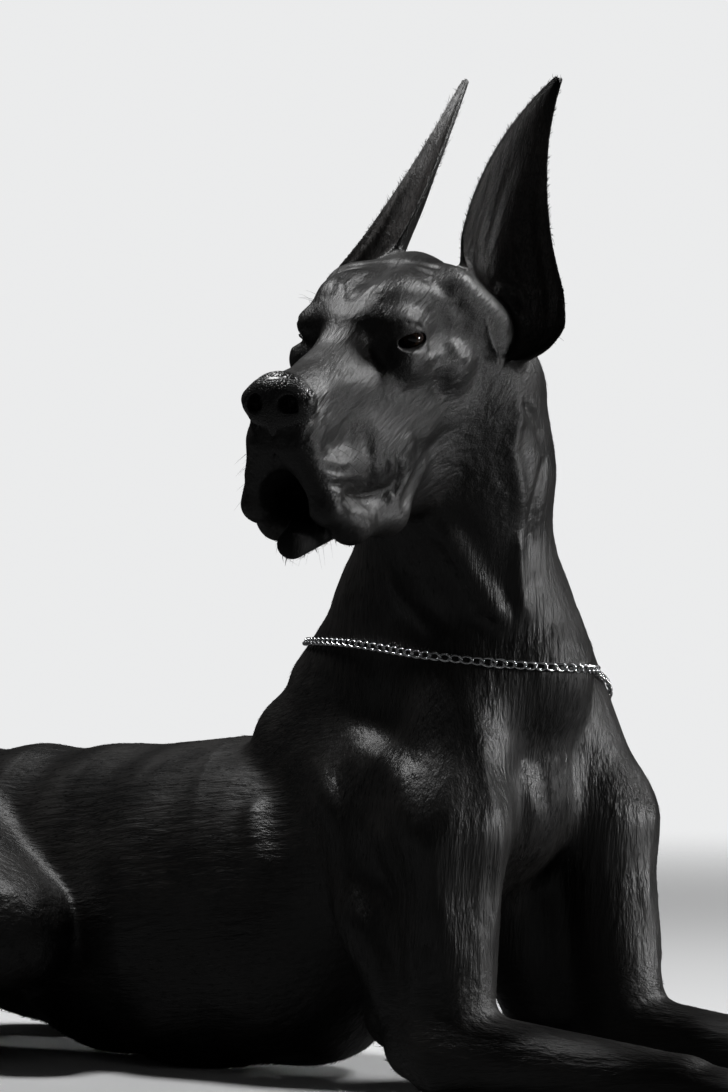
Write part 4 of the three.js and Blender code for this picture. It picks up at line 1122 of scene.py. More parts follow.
class NodeKit:
    """Short words for building a node tree."""

    def __init__(self, tree: Tree) -> None:
        """Starts on a tree."""
        self.tree = tree

    def fill(self, node: bpy.types.Node, inputs: dict) -> None:
        """Sets a node's inputs.

        Args:
            node: the node.
            inputs: for each input, by name or number, a value or an output to link.
        """
        for key, value in inputs.items():
            if isinstance(value, Socket):
                self.tree.links.new(value, node.inputs[key])
            else:
                node.inputs[key].default_value = value

    def node(self, kind: str, inputs: dict | None = None, **settings: object) -> bpy.types.Node:
        """Adds a node.

        Args:
            kind: its type.
            inputs: what goes into it, as fill takes it.
            settings: its own settings.

        Returns:
            The node.
        """
        made = self.tree.nodes.new(kind)
        for key, value in settings.items():
            setattr(made, key, value)
        self.fill(made, inputs or {})
        return made

    def group(self, tree: Tree, **values: float) -> bpy.types.bpy_prop_collection:
        """The outputs of a group placed with its own values."""
        return self.node("ShaderNodeGroup", values, node_tree=tree).outputs

    def math(self, kind: str, a: object, b: object = 0.0) -> Socket:
        """One sum on two numbers."""
        return self.node("ShaderNodeMath", {0: a, 1: b}, operation=kind).outputs[0]

    def vector(self, kind: str, a: object, b: object = (0.0, 0.0, 0.0)) -> bpy.types.Node:
        """One sum on two vectors."""
        return self.node("ShaderNodeVectorMath", {0: a, 1: b}, operation=kind)

    def blend(self, factor: object, a: object, b: object) -> Socket:
        """A number between two numbers."""
        return self.node("ShaderNodeMix", {0: factor, 2: a, 3: b}, data_type="FLOAT").outputs[0]

    def tint(self, factor: object, a: object, b: object) -> Socket:
        """A colour between two, each an output or its red, green and blue."""
        a, b = (v if isinstance(v, Socket) else (*v, 1) for v in (a, b))
        return self.node("ShaderNodeMix", {0: factor, 6: a, 7: b}, data_type="RGBA").outputs[2]

    def span(self, value: object, low: float, high: float, to_low: float = 0.0,
             to_high: float = 1.0) -> Socket:
        """A number moved smoothly from one range to another."""
        inputs = {0: value, 1: low, 2: high, 3: to_low, 4: to_high}
        return self.node("ShaderNodeMapRange", inputs, interpolation_type="SMOOTHSTEP").outputs[0]

    def noise(self, where: object, scale: float = 1.0, detail: float = 2.0, roughness: float = 0.5) -> Socket:
        """A noise from 0 to 1."""
        inputs = {"Vector": where, "Scale": scale, "Detail": detail, "Roughness": roughness}
        return self.node("ShaderNodeTexNoise", inputs).outputs[0]

    def bump(self, strength: float, deep: float, height: object, under: object = None) -> Socket:
        """A normal.

        Args:
            strength: how much of the height is used.
            deep: how high the height is, in metres.
            height: the height, from 0 to 1.
            under: the normal it lies on, if it isn't the mesh's own.

        Returns:
            The normal.
        """
        inputs = {"Strength": strength, "Distance": deep, "Height": height}
        if under is not None:
            inputs["Normal"] = under
        return self.node("ShaderNodeBump", inputs).outputs[0]

    def carried(self, name: str) -> list[Socket]:
        """Red, green, blue and alpha of a colour that the mesh carries."""
        held = self.node("ShaderNodeAttribute", attribute_name=name).outputs
        return [*self.node("ShaderNodeSeparateColor", {0: held["Color"]}).outputs, held["Alpha"]]

    def place(self, scale: Point = (1, 1, 1), turn: Point = (0, 0, 0), start: Point = (0, 0, 0)) -> Socket:
        """Object coordinates, turned and scaled.

        Args:
            scale: how many times finer along each turned axis.
            turn: the turn in radians.
            start: the point that becomes the origin.

        Returns:
            The coordinates.
        """
        here = self.node("ShaderNodeTexCoord").outputs["Object"]
        moved = self.vector("SUBTRACT", here, start).outputs[0]
        turned = self.node("ShaderNodeMapping", {0: moved, 2: turn}, vector_type="POINT").outputs[0]
        return self.vector("MULTIPLY", turned, scale).outputs[0]


def new_group(name: str, inputs: dict[str, float], outputs: Sequence[str]) -> tuple[NodeKit, object, object]:
    """A shader node group with number inputs.

    Args:
        name: the group's name.
        inputs: each input's name and value at the start.
        outputs: the names of its outputs, each a number.
    """
    tree = bpy.data.node_groups.new(name, "ShaderNodeTree")
    for key, value in inputs.items():
        socket = tree.interface.new_socket(key, in_out="INPUT", socket_type="NodeSocketFloat")
        socket.default_value = value
    for key in outputs:
        tree.interface.new_socket(key, in_out="OUTPUT", socket_type="NodeSocketFloat")
    kit = NodeKit(tree)
    return kit, kit.node("NodeGroupInput"), kit.node("NodeGroupOutput")


class Lie(Enum):
    """The ways the hair lies: the direction it grows in, in the frame, and how fine it is."""

    BACK = ((-1.0, 0.0, -0.12), 1.0)
    DOWN = ((-0.16, 0.1, -1.0), 1.0)
    FACE = (tuple(HEAD.rows[2] * 0.34 - HEAD.rows[0] * 0.94), 1.5)
    EAR = (tuple(unit((-135, 0, 205)) @ HEAD.rows), 1.25)

    @property
    def turn(self) -> tuple[float, float, float]:
        """The turn that brings this direction onto x."""
        quaternion = Vector(self.value[0]).to_track_quat("X", "Z").inverted()
        return tuple(quaternion.to_euler())


def hair_group() -> Tree:
    """Builds the short coat: streaks along the lie of the hair, which the mesh's weights pick.

    Returns:
        A group whose Height is fine hair, whose Clump is broader locks and whose Gloss varies slowly.
    """
    kit, given, put = new_group("short_hair", {"Fineness": 1.0}, ("Height", "Clump", "Gloss"))
    along, across = 48.0, 560.0  # streaks in a metre along and across the hair, then locks in a metre
    locks = (20.0, 130.0, 130.0)
    fine = clump = None
    for lie, weight in zip(Lie, kit.carried("lie")):
        fineness = lie.value[1]
        where = kit.place((along * fineness, across * fineness, across * fineness), lie.turn)
        scaled = kit.node("ShaderNodeVectorMath", {0: where, 3: given.outputs["Fineness"]}, operation="SCALE")
        hair = kit.noise(scaled.outputs[0], detail=3.0, roughness=0.6)
        lock = kit.noise(kit.place(locks, lie.turn))
        fine_part = kit.math("MULTIPLY", hair, weight)
        clump_part = kit.math("MULTIPLY", lock, weight)
        fine = fine_part if fine is None else kit.math("ADD", fine, fine_part)
        clump = clump_part if clump is None else kit.math("ADD", clump, clump_part)
    slow = kit.noise(kit.place(), 16.0, 3.0)
    kit.fill(put, {"Height": fine, "Clump": clump, "Gloss": slow})
    return kit.tree


def pebble_group() -> Tree:
    """Builds the pebbled grain of nose leather and bare skin.

    Returns:
        A group whose Height is high on each pebble and whose Furrow is 0 between them.
    """
    kit, given, put = new_group("pebbles", {"Grain": 900.0}, ("Height", "Furrow"))
    inputs = {"Vector": kit.place(), "Scale": given.outputs["Grain"], "Randomness": 0.9}
    cells, edge = (kit.node("ShaderNodeTexVoronoi", inputs, feature=feature).outputs["Distance"]
                   for feature in ("SMOOTH_F1", "DISTANCE_TO_EDGE"))
    kit.fill(put, {"Height": kit.span(cells, 0.75, 0.1), "Furrow": kit.span(edge, 0.0, 0.16)})
    return kit.tree


def new_material(name: str) -> tuple[Material, NodeKit, bpy.types.Node]:
    """An empty material.

    Args:
        name: its name.
    """
    material = bpy.data.materials.new(name)
    material.use_nodes = True
    kit = NodeKit(material.node_tree)
    return material, kit, material.node_tree.nodes["Principled BSDF"]


@dataclass(frozen=True)
class CoatFinish:
    """Short glossy black hair, with bare skin at the lips, lids and ears. The hollow of the ears is
    lightened, partly its own paler skin and partly painted light, and the mouth and chin are darkened, partly
    their own colour and partly painted shade.
    """

    hair: Colour = (0.0042, 0.0040, 0.0039)
    faded: Colour = (0.0105, 0.0094, 0.0086)
    # Paler bare skin of the ears' hollow, lifted further as painted light on the shaded hollow.
    ear_skin_and_painted_light: Colour = (0.032, 0.027, 0.025)
    # Near-black of the mouth and chin: partly the lips' own colour, partly painted shade in the opening and
    # on the chin.
    mouth: Colour = (0.0016, 0.0014, 0.0014)
    strand_lift: float = 1.5
    roughness: float = 0.42
    wet: float = 0.3
    dull: float = 0.85
    specular: float = 0.55
    grain: float = 420.0
    hair_bump: float = 0.8
    hair_deep: float = 0.0009
    lock_bump: float = 0.4
    lock_deep: float = 0.005

    def plain(self, kit: NodeKit, short: bpy.types.bpy_prop_collection) -> tuple[Socket, ...]:
        """Plain hair.

        Args:
            short: the outputs of the hair group.

        Returns:
            Its colour and its roughness.
        """
        tone = kit.tint(kit.span(short["Gloss"], 0.35, 0.7), self.hair, self.faded)
        rough = kit.span(short["Gloss"], 0.3, 0.75, self.roughness - 0.05, self.roughness + 0.08)
        return tone, rough

    def material(self, hair: Tree, pebbles: Tree) -> Material:
        """The skin's material.

        Args:
            hair: the hair group.
            pebbles: the pebble group.

        Returns:
            The material.
        """
        material, kit, shader = new_material("coat_black")
        short = kit.group(hair, Fineness=1.0)
        grain = kit.group(pebbles, Grain=self.grain)
        wet, ear, mouth, _ = kit.carried("bare")
        tone, rough = self.plain(kit, short)
        bright = [v * self.strand_lift for v in self.faded]
        strand = kit.tint(kit.span(short["Height"], 0.45, 0.75), tone, bright)
        # The ears' hollow takes the paler skin colour: partly its own, partly painted light.
        inside = kit.tint(ear, strand, self.ear_skin_and_painted_light)
        height = kit.blend(wet, short["Height"], grain["Height"])
        locks = kit.bump(self.lock_bump, self.lock_deep, short["Clump"])
        kit.fill(shader, {
            # Near-black where nose, lids, mouth or chin are weighted; on the chin and in the mouth's opening
            # it is painted shade.
            "Base Color": kit.tint(kit.math("MAXIMUM", wet, mouth), inside, self.mouth),
            "Roughness": kit.blend(mouth, kit.blend(wet, rough, self.wet), self.dull),
            "Normal": kit.bump(self.hair_bump, self.hair_deep, height, locks),
            "Specular IOR Level": self.specular,
        })
        return material

    def strands(self, hair: Tree) -> Material:
        """The material of the tufts.

        Args:
            hair: the hair group.

        Returns:
            The material.
        """
        material, kit, shader = new_material("coat_tufts")
        tone, rough = self.plain(kit, kit.group(hair, Fineness=0.6))
        kit.fill(shader, {"Base Color": tone, "Roughness": rough, "Specular IOR Level": self.specular})
        return material


@dataclass(frozen=True)
class LeatherFinish:
    """Moist pebbled nose leather."""

    base: Colour = (0.008, 0.0075, 0.0075)
    raised: Colour = (0.011, 0.0105, 0.0105)
    grain: float = 640.0
    bump: float = 0.75
    deep: float = 0.0007

    def material(self, pebbles: Tree) -> Material:
        """The nose's material.

        Args:
            pebbles: the pebble group.

        Returns:
            The material.
        """
        material, kit, shader = new_material("nose_leather")
        grain = kit.group(pebbles, Grain=self.grain)
        kit.fill(shader, {
            "Base Color": kit.tint(grain["Furrow"], self.base, self.raised),
            "Roughness": kit.blend(grain["Furrow"], 0.5, 0.27),
            "Normal": kit.bump(self.bump, self.deep, grain["Height"]),
            "Coat Weight": 0.35,
            "Coat Roughness": 0.16,
        })
        return material


@dataclass(frozen=True)
class EyeFinish:
    """A brown eye, wet all over, dark at the rim of the iris. Sizes are angles from the gaze in radians."""

    iris: Colour = (0.046, 0.027, 0.016)
    ring: Colour = (0.008, 0.005, 0.004)
    pupil: Colour = (0.002, 0.002, 0.002)
    white: Colour = (0.035, 0.024, 0.021)
    pupil_size: float = 0.34
    iris_size: float = 0.70

    def material(self, side: float) -> Material:
        """The material of one eye, with its pattern round its gaze.

        Args:
            side: 1 for the dog's left eye, -1 for the right.

        Returns:
            The material.
        """
        material, kit, shader = new_material("eye_left" if side > 0 else "eye_right")
        look = unit(flip(GAZE, side)) @ HEAD.rows
        centre = tuple(to_frame(HEAD.out(flip(EYE_AT, side))))
        away = kit.vector("SUBTRACT", kit.node("ShaderNodeTexCoord").outputs["Object"], centre).outputs[0]
        along = kit.vector("DOT_PRODUCT", away, tuple(look)).outputs["Value"]
        reach = kit.vector("LENGTH", away).outputs["Value"]
        spread = kit.math("ARCCOSINE", kit.math("DIVIDE", along, reach))
        rays = kit.noise(kit.place(start=centre), 900.0, 3.0)
        iris = kit.tint(rays, [v * 0.5 for v in self.iris], [v * 1.6 for v in self.iris])
        rimmed = kit.tint(kit.span(spread, self.iris_size - 0.16, self.iris_size - 0.02), iris, self.ring)
        inner = kit.tint(kit.span(spread, self.pupil_size - 0.04, self.pupil_size + 0.03), self.pupil, rimmed)
        outer = kit.span(spread, self.iris_size, self.iris_size + 0.06)
        kit.fill(shader, {
            "Base Color": kit.tint(outer, inner, self.white),
            "Roughness": kit.span(rays, 0.2, 0.8, 0.04, 0.08),
            "Coat Weight": 1.0,
            "Coat Roughness": 0.02,
        })
        return material


@dataclass(frozen=True)
class SteelFinish:
    """Polished steel wire with fine scratches, duller in random patches."""

    bright: Colour = (0.92, 0.93, 0.94)
    dull: Colour = (0.62, 0.63, 0.65)

    def material(self) -> Material:
        """The chain's material."""
        material, kit, shader = new_material("chain_steel")
        wear = kit.noise(kit.place(), 320.0, 4.0)
        scratch = kit.noise(kit.place((300, 2400, 2400), (0.4, 0.7, 0.2)))
        kit.fill(shader, {
            "Base Color": kit.tint(kit.span(wear, 0.35, 0.6), self.dull, self.bright),
            "Roughness": kit.span(wear, 0.3, 0.7, 0.3, 0.14),
            "Normal": kit.bump(0.12, 0.0002, scratch),
            "Metallic": 1.0,
        })
        return material


@dataclass(frozen=True)
class ClawFinish:
    """Black horn, worn greyer towards the tips."""

    horn: Colour = (0.012, 0.011, 0.010)
    worn: Colour = (0.07, 0.062, 0.055)

    def material(self) -> Material:
        """The claws' material."""
        material, kit, shader = new_material("claw_horn")
        grain = kit.noise(kit.place((200, 1400, 1400)), detail=3.0)
        height = kit.node("ShaderNodeSeparateXYZ", {0: kit.place()}).outputs[2]
        worn = kit.math("MULTIPLY", kit.span(height, 0.012, 0.002), kit.span(grain, 0.3, 0.7))
        kit.fill(shader, {
            "Base Color": kit.tint(worn, self.horn, self.worn),
            "Roughness": kit.span(grain, 0.3, 0.7, 0.3, 0.45),
            "Normal": kit.bump(0.3, 0.0004, grain),
        })
        return material


@dataclass
class Skin:
    """The one skin of the whole dog, fine over the head and coarser over the body."""

    dog: DogShape
    head_cell: float = 1.8
    body_cell: float = 5.0
    seam_z: float = 494.0  # the two lattices meet here, across the neck
    body_rows: int = 103  # cells from the seam down to below the floor, then the lattices' corners
    body_lo: tuple[float, float] = (-1300, -320)
    body_hi: tuple[float, float] = (520, 360)
    head_lo: tuple[float, float] = (-156, -520)
    head_hi: tuple[float, float, float] = (420, 80, 1012)
    faces: int = 190000

    def rough(self) -> tuple[Array, Array]:
        """Points and triangles of the whole skin before it is thinned."""
        floor = self.seam_z - 1 - self.body_rows * self.body_cell
        lower = Lattice((*self.body_lo, floor), (*self.body_hi, self.seam_z), self.body_cell)
        body, body_quads = lower.net(lower.sample(self.dog.distance))
        upper = Lattice((*self.head_lo, self.seam_z), self.head_hi, self.head_cell)
        head, head_quads = upper.net(upper.sample(self.dog.distance))
        body_faces = triangles_of(body, body_quads)
        head_faces = triangles_of(head, head_quads)
        points = np.concatenate([body, head])
        low = open_loop(body_faces)
        high = open_loop(head_faces) + len(body)
        belt = zip_loops(points, low, high, points[low].mean(0))
        faces = np.concatenate([body_faces, head_faces + len(body), belt])
        return points, faces

    def build(self) -> Piece:
        """The thinned skin, settled on the dog's surface, with its normals and weights."""
        points, faces = self.rough()
        log.info("skin laid out with %d triangles", len(faces))
        piece = mesh_of("skin", points * TO_METRES, faces)
        thin = piece.modifiers.new("thin", "DECIMATE")
        thin.ratio = self.faces / len(faces)
        baked(piece)
        mesh = piece.data
        co = np.empty(len(mesh.vertices) * 3, np.float32)
        mesh.vertices.foreach_get("co", co)
        self.points, self.normals = self.dog.settle(co.reshape(-1, 3) / TO_METRES)
        self.points[:, 2] = np.maximum(self.points[:, 2], 0)
        mesh.vertices.foreach_set("co", to_frame(self.points).astype(np.float32).ravel())
        mesh.update()
        self.lie = lie_weights(self.points)
        self.bare = self.bare_parts()
        put_colour(mesh, "lie", self.lie)
        put_colour(mesh, "bare", self.bare)
        mesh.normals_split_custom_set_from_vertices(self.normals.tolist())
        self.piece = piece
        return piece

    def bare_parts(self) -> Array:
        """Bare skin and painted marks: nose and lids in red, the hollow of the ears in green (lightened
        partly by painted light), the mouth and chin in blue (darkened partly by painted shade).
        """
        # A part's weight rises from 0 to 1 over the millimetres given, measured from a form that holds it
        q = HEAD.into(self.points)
        side = np.abs(q[:, 1])
        # The mouth's mask: its near-black is partly the lips' own colour and partly painted shade in the
        # opening.
        gap = np.minimum(Limb(*MOUTH, 20, 31).distance(q), Limb(*MOUTH_INSIDE, 22, 18).distance(q))
        mouth = smooth_step(2.5, -2.5, gap)
        nose = Egg((158, 0, -28), (22, 34, 30)).distance(q)
        # The chin joins the mouth's mask to take painted shade.
        chin = Limb((152, 0, -158), (126, 0, -164), 22, 20).distance(q)
        mouth = np.maximum(mouth, smooth_step(3.0, -3.0, chin))
        wet = smooth_step(2.5, -1.0, nose)
        r = q.copy()
        r[:, 1] = side
        lid = Egg(EYE_AT, (EYE_RADIUS + 2.8,) * 3).distance(r)
        look = unit(GAZE)
        slit = Egg(np.add(EYE_AT, look * 12), (30, 13.2, 5.9), Axes.looking(EYE_AT, look, (0, 0, 1)).rows)
        wet = np.maximum(wet, smooth_step(1.2, -0.6, slit.distance(r)) * smooth_step(4, 1, lid))
        ear = np.zeros(len(q))
        self.ear_rim = np.zeros(len(q))
        for leaf in self.dog.ear_forms:
            along, t, lift, w = leaf.place(q)
            edge = smooth_step(0.8, 0.97, np.abs(t / w)) * smooth_step(14, 8, np.abs(lift))
            self.ear_rim = np.maximum(self.ear_rim, edge * smooth_step(-0.1, 0.05, along))
            # The hollow's mask carries the paler ear skin, which is partly painted light.
            hollow = smooth_step(-0.5, 1.5, lift) * smooth_step(9, 5, lift)
            hollow = hollow * smooth_step(1.0, 0.85, np.abs(t / w))
            ear = np.maximum(ear, hollow * smooth_step(-0.16, -0.05, along) * smooth_step(1.0, 0.75, along))
        return np.stack([wet, ear, mouth, np.ones(len(q))], 1)


def lie_weights(points: Array) -> Array:
    """How far each lie of the hair holds.

    Args:
        points: points of the skin.

    Returns:
        Four weights for each, in the order of Lie, that add up to 1.
    """
    q = HEAD.into(points)
    up = smooth_step(470, 590, points[:, 2])
    ear = smooth_step(54, 84, q[:, 2]) * up
    face = up * smooth_step(-200, -110, q[:, 0]) * (1 - ear)
    low = smooth_step(150, 90, points[:, 2])
    front = smooth_step(-170, -40, points[:, 0])
    down = (1 - ear - face) * np.clip(front * (1 - low) + smooth_step(380, 450, points[:, 2]), 0, 1)
    back = np.clip(1 - ear - face - down, 0, 1)
    return np.stack([back, down, face, ear], 1)


def put_colour(mesh: bpy.types.Mesh, name: str, values: Array) -> None:
    """Writes four values for each point of a mesh."""
    layer = mesh.attributes.new(name, "FLOAT_COLOR", "POINT")
    layer.data.foreach_set("color", np.ascontiguousarray(values, np.float32).ravel())


@dataclass
class NoseLeather:
    """The leather of the nose, a cap that stands a little proud of the skin."""

    dog: DogShape
    cell: float = 0.9
    proud: float = 0.2
    rim: float = 2.5
    cap: Egg = Egg((160, 0, -29), (23, 33.5, 25))
    tongue: Limb = Limb((172, 0, -42), (168, 0, -58), 8, 4)  # runs down between the nostrils

    def distance(self, p: Array) -> Array:
        """Distance to the leather, negative inside.

        Args:
            p: layout points.

        Returns:
            One distance each.
        """
        q = HEAD.into(p)
        outer = self.dog.bare(p) - self.proud
        return cut(outer, np.minimum(self.cap.distance(q), self.tongue.distance(q)), self.rim)

    def build(self) -> Piece:
        """The nose."""
        corners = np.array([HEAD.out((x, y, z)) for x in (130, 190) for y in (-38, 38) for z in (-62, 4)])
        grid = Lattice(corners.min(0), corners.max(0), self.cell)
        points, quads = grid.net(grid.sample(self.distance))
        return mesh_of("nose_leather", to_frame(points), quads)


@dataclass
class Eyes:
    """Eyeballs with a bulging cornea."""

    rings: int = 24
    sides: int = 32
    bulge: float = 0.9
    cornea: float = 0.62  # half its angle, in radians
    play: float = 0.05

    def build(self, side: float) -> Piece:
        """One eyeball, its poles on its gaze.

        Args:
            side: 1 for the dog's left eye, -1 for the right.

        Returns:
            The eyeball.
        """
        look = unit(flip(GAZE, side))
        rows = Axes.looking((0, 0, 0), look, (0, 0, 1)).rows
        centre = flip(EYE_AT, side)
        points = [centre + look * (EYE_RADIUS + self.bulge)]
        for i in range(1, self.rings):
            a = math.pi * i / self.rings
            r = EYE_RADIUS + self.bulge * math.exp(-(a / self.cornea) ** 4) - self.play
            for j in range(self.sides):
                b = 2 * math.pi * j / self.sides
                local = np.array([math.cos(a), math.sin(a) * math.cos(b), math.sin(a) * math.sin(b)]) * r
                points.append(centre + local @ rows)
        points.append(centre - look * EYE_RADIUS)
        last = len(points) - 1
        faces = tube(1, self.rings - 1, self.sides, True)
        for j in range(self.sides):
            k = (j + 1) % self.sides
            faces += [(0, 1 + j, 1 + k), (last - self.sides + j, last, last - self.sides + k)]
        name = "eyeball_left" if side > 0 else "eyeball_right"
        return mesh_of(name, to_frame(HEAD.out(np.array(points))), faces)


@dataclass
class Claws:
    """Short blunt claws, one on each toe."""

    dog: DogShape
    length: float = 19.0
    radius: float = 5.2
    flat: float = 0.72  # its width against its height
    arch: tuple[float, float] = (2.0, 9.5)  # how far it rises and how far it drops along its length
    tip: float = 0.35
    rings: int = 7
    sides: int = 12

    def build(self) -> Piece:
        """All the claws as one mesh."""
        points: list[Array] = []
        faces: list[tuple[int, int, int]] = []
        for start, knuckle in self.dog.foot_ends():
            way = unit(np.multiply(knuckle - start, (1, 1, 0)))
            for _, tip, _ in self.dog.toe_points(start, knuckle):
                self.claw(points, faces, tip + way * 6 + (0, 0, 3.5), way)
        return mesh_of("claws", to_frame(np.array(points)), faces)

    def claw(self, points: list[Array], faces: list, root: Array, way: Array) -> None:
        """Adds one claw.

        Args:
            points: the points it adds to.
            faces: the triangles it adds to.
            root: its root, inside the toe.
            way: the level way it points.
        """
        up = np.array([0, 0, 1])
        left = np.cross(up, way)
        base = len(points)
        for t in np.arange(self.rings) / (self.rings - 1):
            middle = root + way * self.length * t + up * (self.arch[0] * t - self.arch[1] * t * t)
            r = self.radius * (1 - t) ** 0.6 * 0.95 + self.tip
            for j in range(self.sides):
                a = 2 * math.pi * j / self.sides
                points.append(middle + left * math.cos(a) * r * self.flat + up * math.sin(a) * r)
        faces.extend(tube(base, self.rings, self.sides))
        end = len(points) - self.sides
        points.extend((np.mean(points[end:], 0), root - way))
        for j in range(self.sides):
            k = (j + 1) % self.sides
            faces.extend(((end + j, end + k, end + self.sides), (base + k, base + j, end + self.sides + 1)))


@dataclass
class CollarChain:
    """A steel curb chain that lies loose round the base of the neck, lowest on the dog's left."""

    dog: DogShape
    centre: tuple[float, float] = (-14.0, -22.0)
    pitch: float = 10.2
    wire: float = 1.3
    width: float = 9.2
    twist: float = 45.0
    sink: float = 0.6
    joint_turn: float = -34.0
    joint_size: float = 1.22
    level: float = 424.0  # its height, how far it tips towards a turn, and how far it drops at another
    tip: tuple[float, float] = (14.0, 20.0)
    drop: tuple[float, float] = (68.0, 85.0)
    drop_width: float = 28.0
    turns: int = 720
    reach: tuple[int, int] = (40, 320)  # how far from its centre the coat is looked for
    rise: float = 1.55  # how far a link's middle stands off the coat, in wires

    def height(self, a: Array) -> Array:
        """Height of the chain at a turn about the neck."""
        drop = np.exp(-((a - math.radians(self.drop[1])) / math.radians(self.drop_width)) ** 2)
        return self.level - self.tip[0] * np.cos(a - math.radians(self.tip[1])) - self.drop[0] * drop

    def path(self) -> tuple[Array, Array]:
        """Points on the coat, one for each link, and the turn of each about the neck."""
        turns = np.linspace(-math.pi, math.pi, self.turns + 1)[:-1]
        reach = np.arange(*self.reach, 1.0)
        z = self.height(turns)
        grid = np.empty((len(turns), len(reach), 3))
        grid[..., 0] = self.centre[0] + np.cos(turns)[:, None] * reach
        grid[..., 1] = self.centre[1] + np.sin(turns)[:, None] * reach
        grid[..., 2] = z[:, None]
        outside = many(self.dog.distance, grid.reshape(-1, 3)).reshape(grid.shape[:2]) > self.dog.coat_depth
        radius = reach[np.argmax(outside, 1)] - 0.5
        soft = np.mean([np.roll(radius, k) for k in range(-9, 10)], 0)
        radius = np.maximum(radius, soft)
        radius = np.mean([np.roll(radius, k) for k in range(-4, 5)], 0)
        ring = np.stack([self.centre[0] + np.cos(turns) * radius,
                         self.centre[1] + np.sin(turns) * radius, z], 1)
        steps = norm(np.roll(ring, -1, 0) - ring, axis=1)
        whole = steps.sum()
        count = round(whole / self.pitch)
        at = np.concatenate([[0], np.cumsum(steps)])
        want = np.arange(count) * whole / count
        closed = np.concatenate([ring, ring[:1]])
        points = np.stack([np.interp(want, at, closed[:, k]) for k in range(3)], 1)
        return points, np.interp(want, at, np.append(turns, math.pi))

    def build(self, material: Material) -> Piece:
        """The chain as plain mesh.

        Args:
            material: its material.

        Returns:
            The chain.
        """
        points, turns = self.path()
        _, out = self.dog.settle(points.copy(), 0)
        along = np.roll(points, -1, 0) - np.roll(points, 1, 0)
        along /= norm(along, axis=1, keepdims=True)
        middle = points + out * (self.wire * self.rise - self.sink)
        mesh = bpy.data.meshes.new("collar_chain_links")
        mesh.from_pydata(to_frame(middle).tolist(), [], [])
        near = np.abs(turns - math.radians(self.joint_turn))
        heavy = near <= np.sort(near)[1]
        for name, values in (("along", along), ("out", out)):
            layer = mesh.attributes.new(name, "FLOAT_VECTOR", "POINT")
            layer.data.foreach_set("vector", values.astype(np.float32).ravel())
        sizes = np.where(heavy, self.joint_size, 1.0).astype(np.float32)
        mesh.attributes.new("size", "FLOAT", "POINT").data.foreach_set("value", sizes)
        piece = bpy.data.objects.new("collar_chain_links", mesh)
        bpy.context.scene.collection.objects.link(piece)
        modifier = piece.modifiers.new("links", "NODES")
        modifier.node_group = self.tree(material)
        half = self.pitch / 2 + self.wire
        sizes = {"Half Length": half, "Half Width": self.width / 2 - self.wire, "Wire": self.wire}
        for socket in modifier.node_group.interface.items_tree:
            if socket.name in sizes:
                modifier[socket.identifier] = sizes[socket.name] * TO_METRES
            elif socket.name == "Twist":
                modifier[socket.identifier] = math.radians(self.twist)
        baked(piece)
        return piece

    def tree(self, material: Material) -> Tree:
        """Geometry nodes that lay a twisted oval link at each point, its plane turned by the skin's normal.

        Args:
            material: the links' material.

        Returns:
            The node tree.
        """
        tree = bpy.data.node_groups.new("curb_links", "GeometryNodeTree")
        tree.interface.new_socket("Geometry", in_out="INPUT", socket_type="NodeSocketGeometry")
        for name in ("Half Length", "Half Width", "Wire", "Twist"):
            tree.interface.new_socket(name, in_out="INPUT", socket_type="NodeSocketFloat")
        tree.interface.new_socket("Geometry", in_out="OUTPUT", socket_type="NodeSocketGeometry")
        kit = NodeKit(tree)
        given = kit.node("NodeGroupInput").outputs
        circle = "GeometryNodeCurvePrimitiveCircle"
        oval = kit.node(circle, {"Resolution": 16, "Radius": 1.0}, mode="RADIUS").outputs[0]
        here = kit.node("GeometryNodeInputPosition").outputs[0]
        x, y, _ = kit.node("ShaderNodeSeparateXYZ", {0: here}).outputs
        wide = kit.math("MULTIPLY", y, given["Half Width"])
        turn = kit.math("MULTIPLY", x, given["Twist"])
        place = kit.node("ShaderNodeCombineXYZ", {
            0: kit.math("MULTIPLY", x, given["Half Length"]),
            1: kit.math("MULTIPLY", wide, kit.math("COSINE", turn)),
            2: kit.math("MULTIPLY", wide, kit.math("SINE", turn)),
        }).outputs[0]
        bent = kit.node("GeometryNodeSetPosition", {"Geometry": oval, "Position": place}).outputs[0]
        wire = kit.node(circle, {"Resolution": 6, "Radius": given["Wire"]}, mode="RADIUS").outputs[0]
        link = kit.node("GeometryNodeCurveToMesh", {"Curve": bent, "Profile Curve": wire}).outputs[0]
        kinds = (("along", "FLOAT_VECTOR"), ("out", "FLOAT_VECTOR"), ("size", "FLOAT"))
        along, out, size = (
            kit.node("GeometryNodeInputNamedAttribute", {"Name": name}, data_type=kind).outputs[0]
            for name, kind in kinds)
        way = kit.node("FunctionNodeAxesToRotation", {0: along, 1: out}, primary_axis="X", secondary_axis="Z")
        laid = kit.node("GeometryNodeInstanceOnPoints", {
            "Points": given["Geometry"], "Instance": link, "Rotation": way.outputs[0], "Scale": size,
        }).outputs[0]
        real = kit.node("GeometryNodeRealizeInstances", {"Geometry": laid}).outputs[0]
        smooth = kit.node("GeometryNodeSetShadeSmooth", {"Geometry": real}).outputs[0]
        done = kit.node("GeometryNodeSetMaterial", {"Geometry": smooth, "Material": material}).outputs[0]
        kit.tree.links.new(done, kit.node("NodeGroupOutput").inputs[0])
        return tree


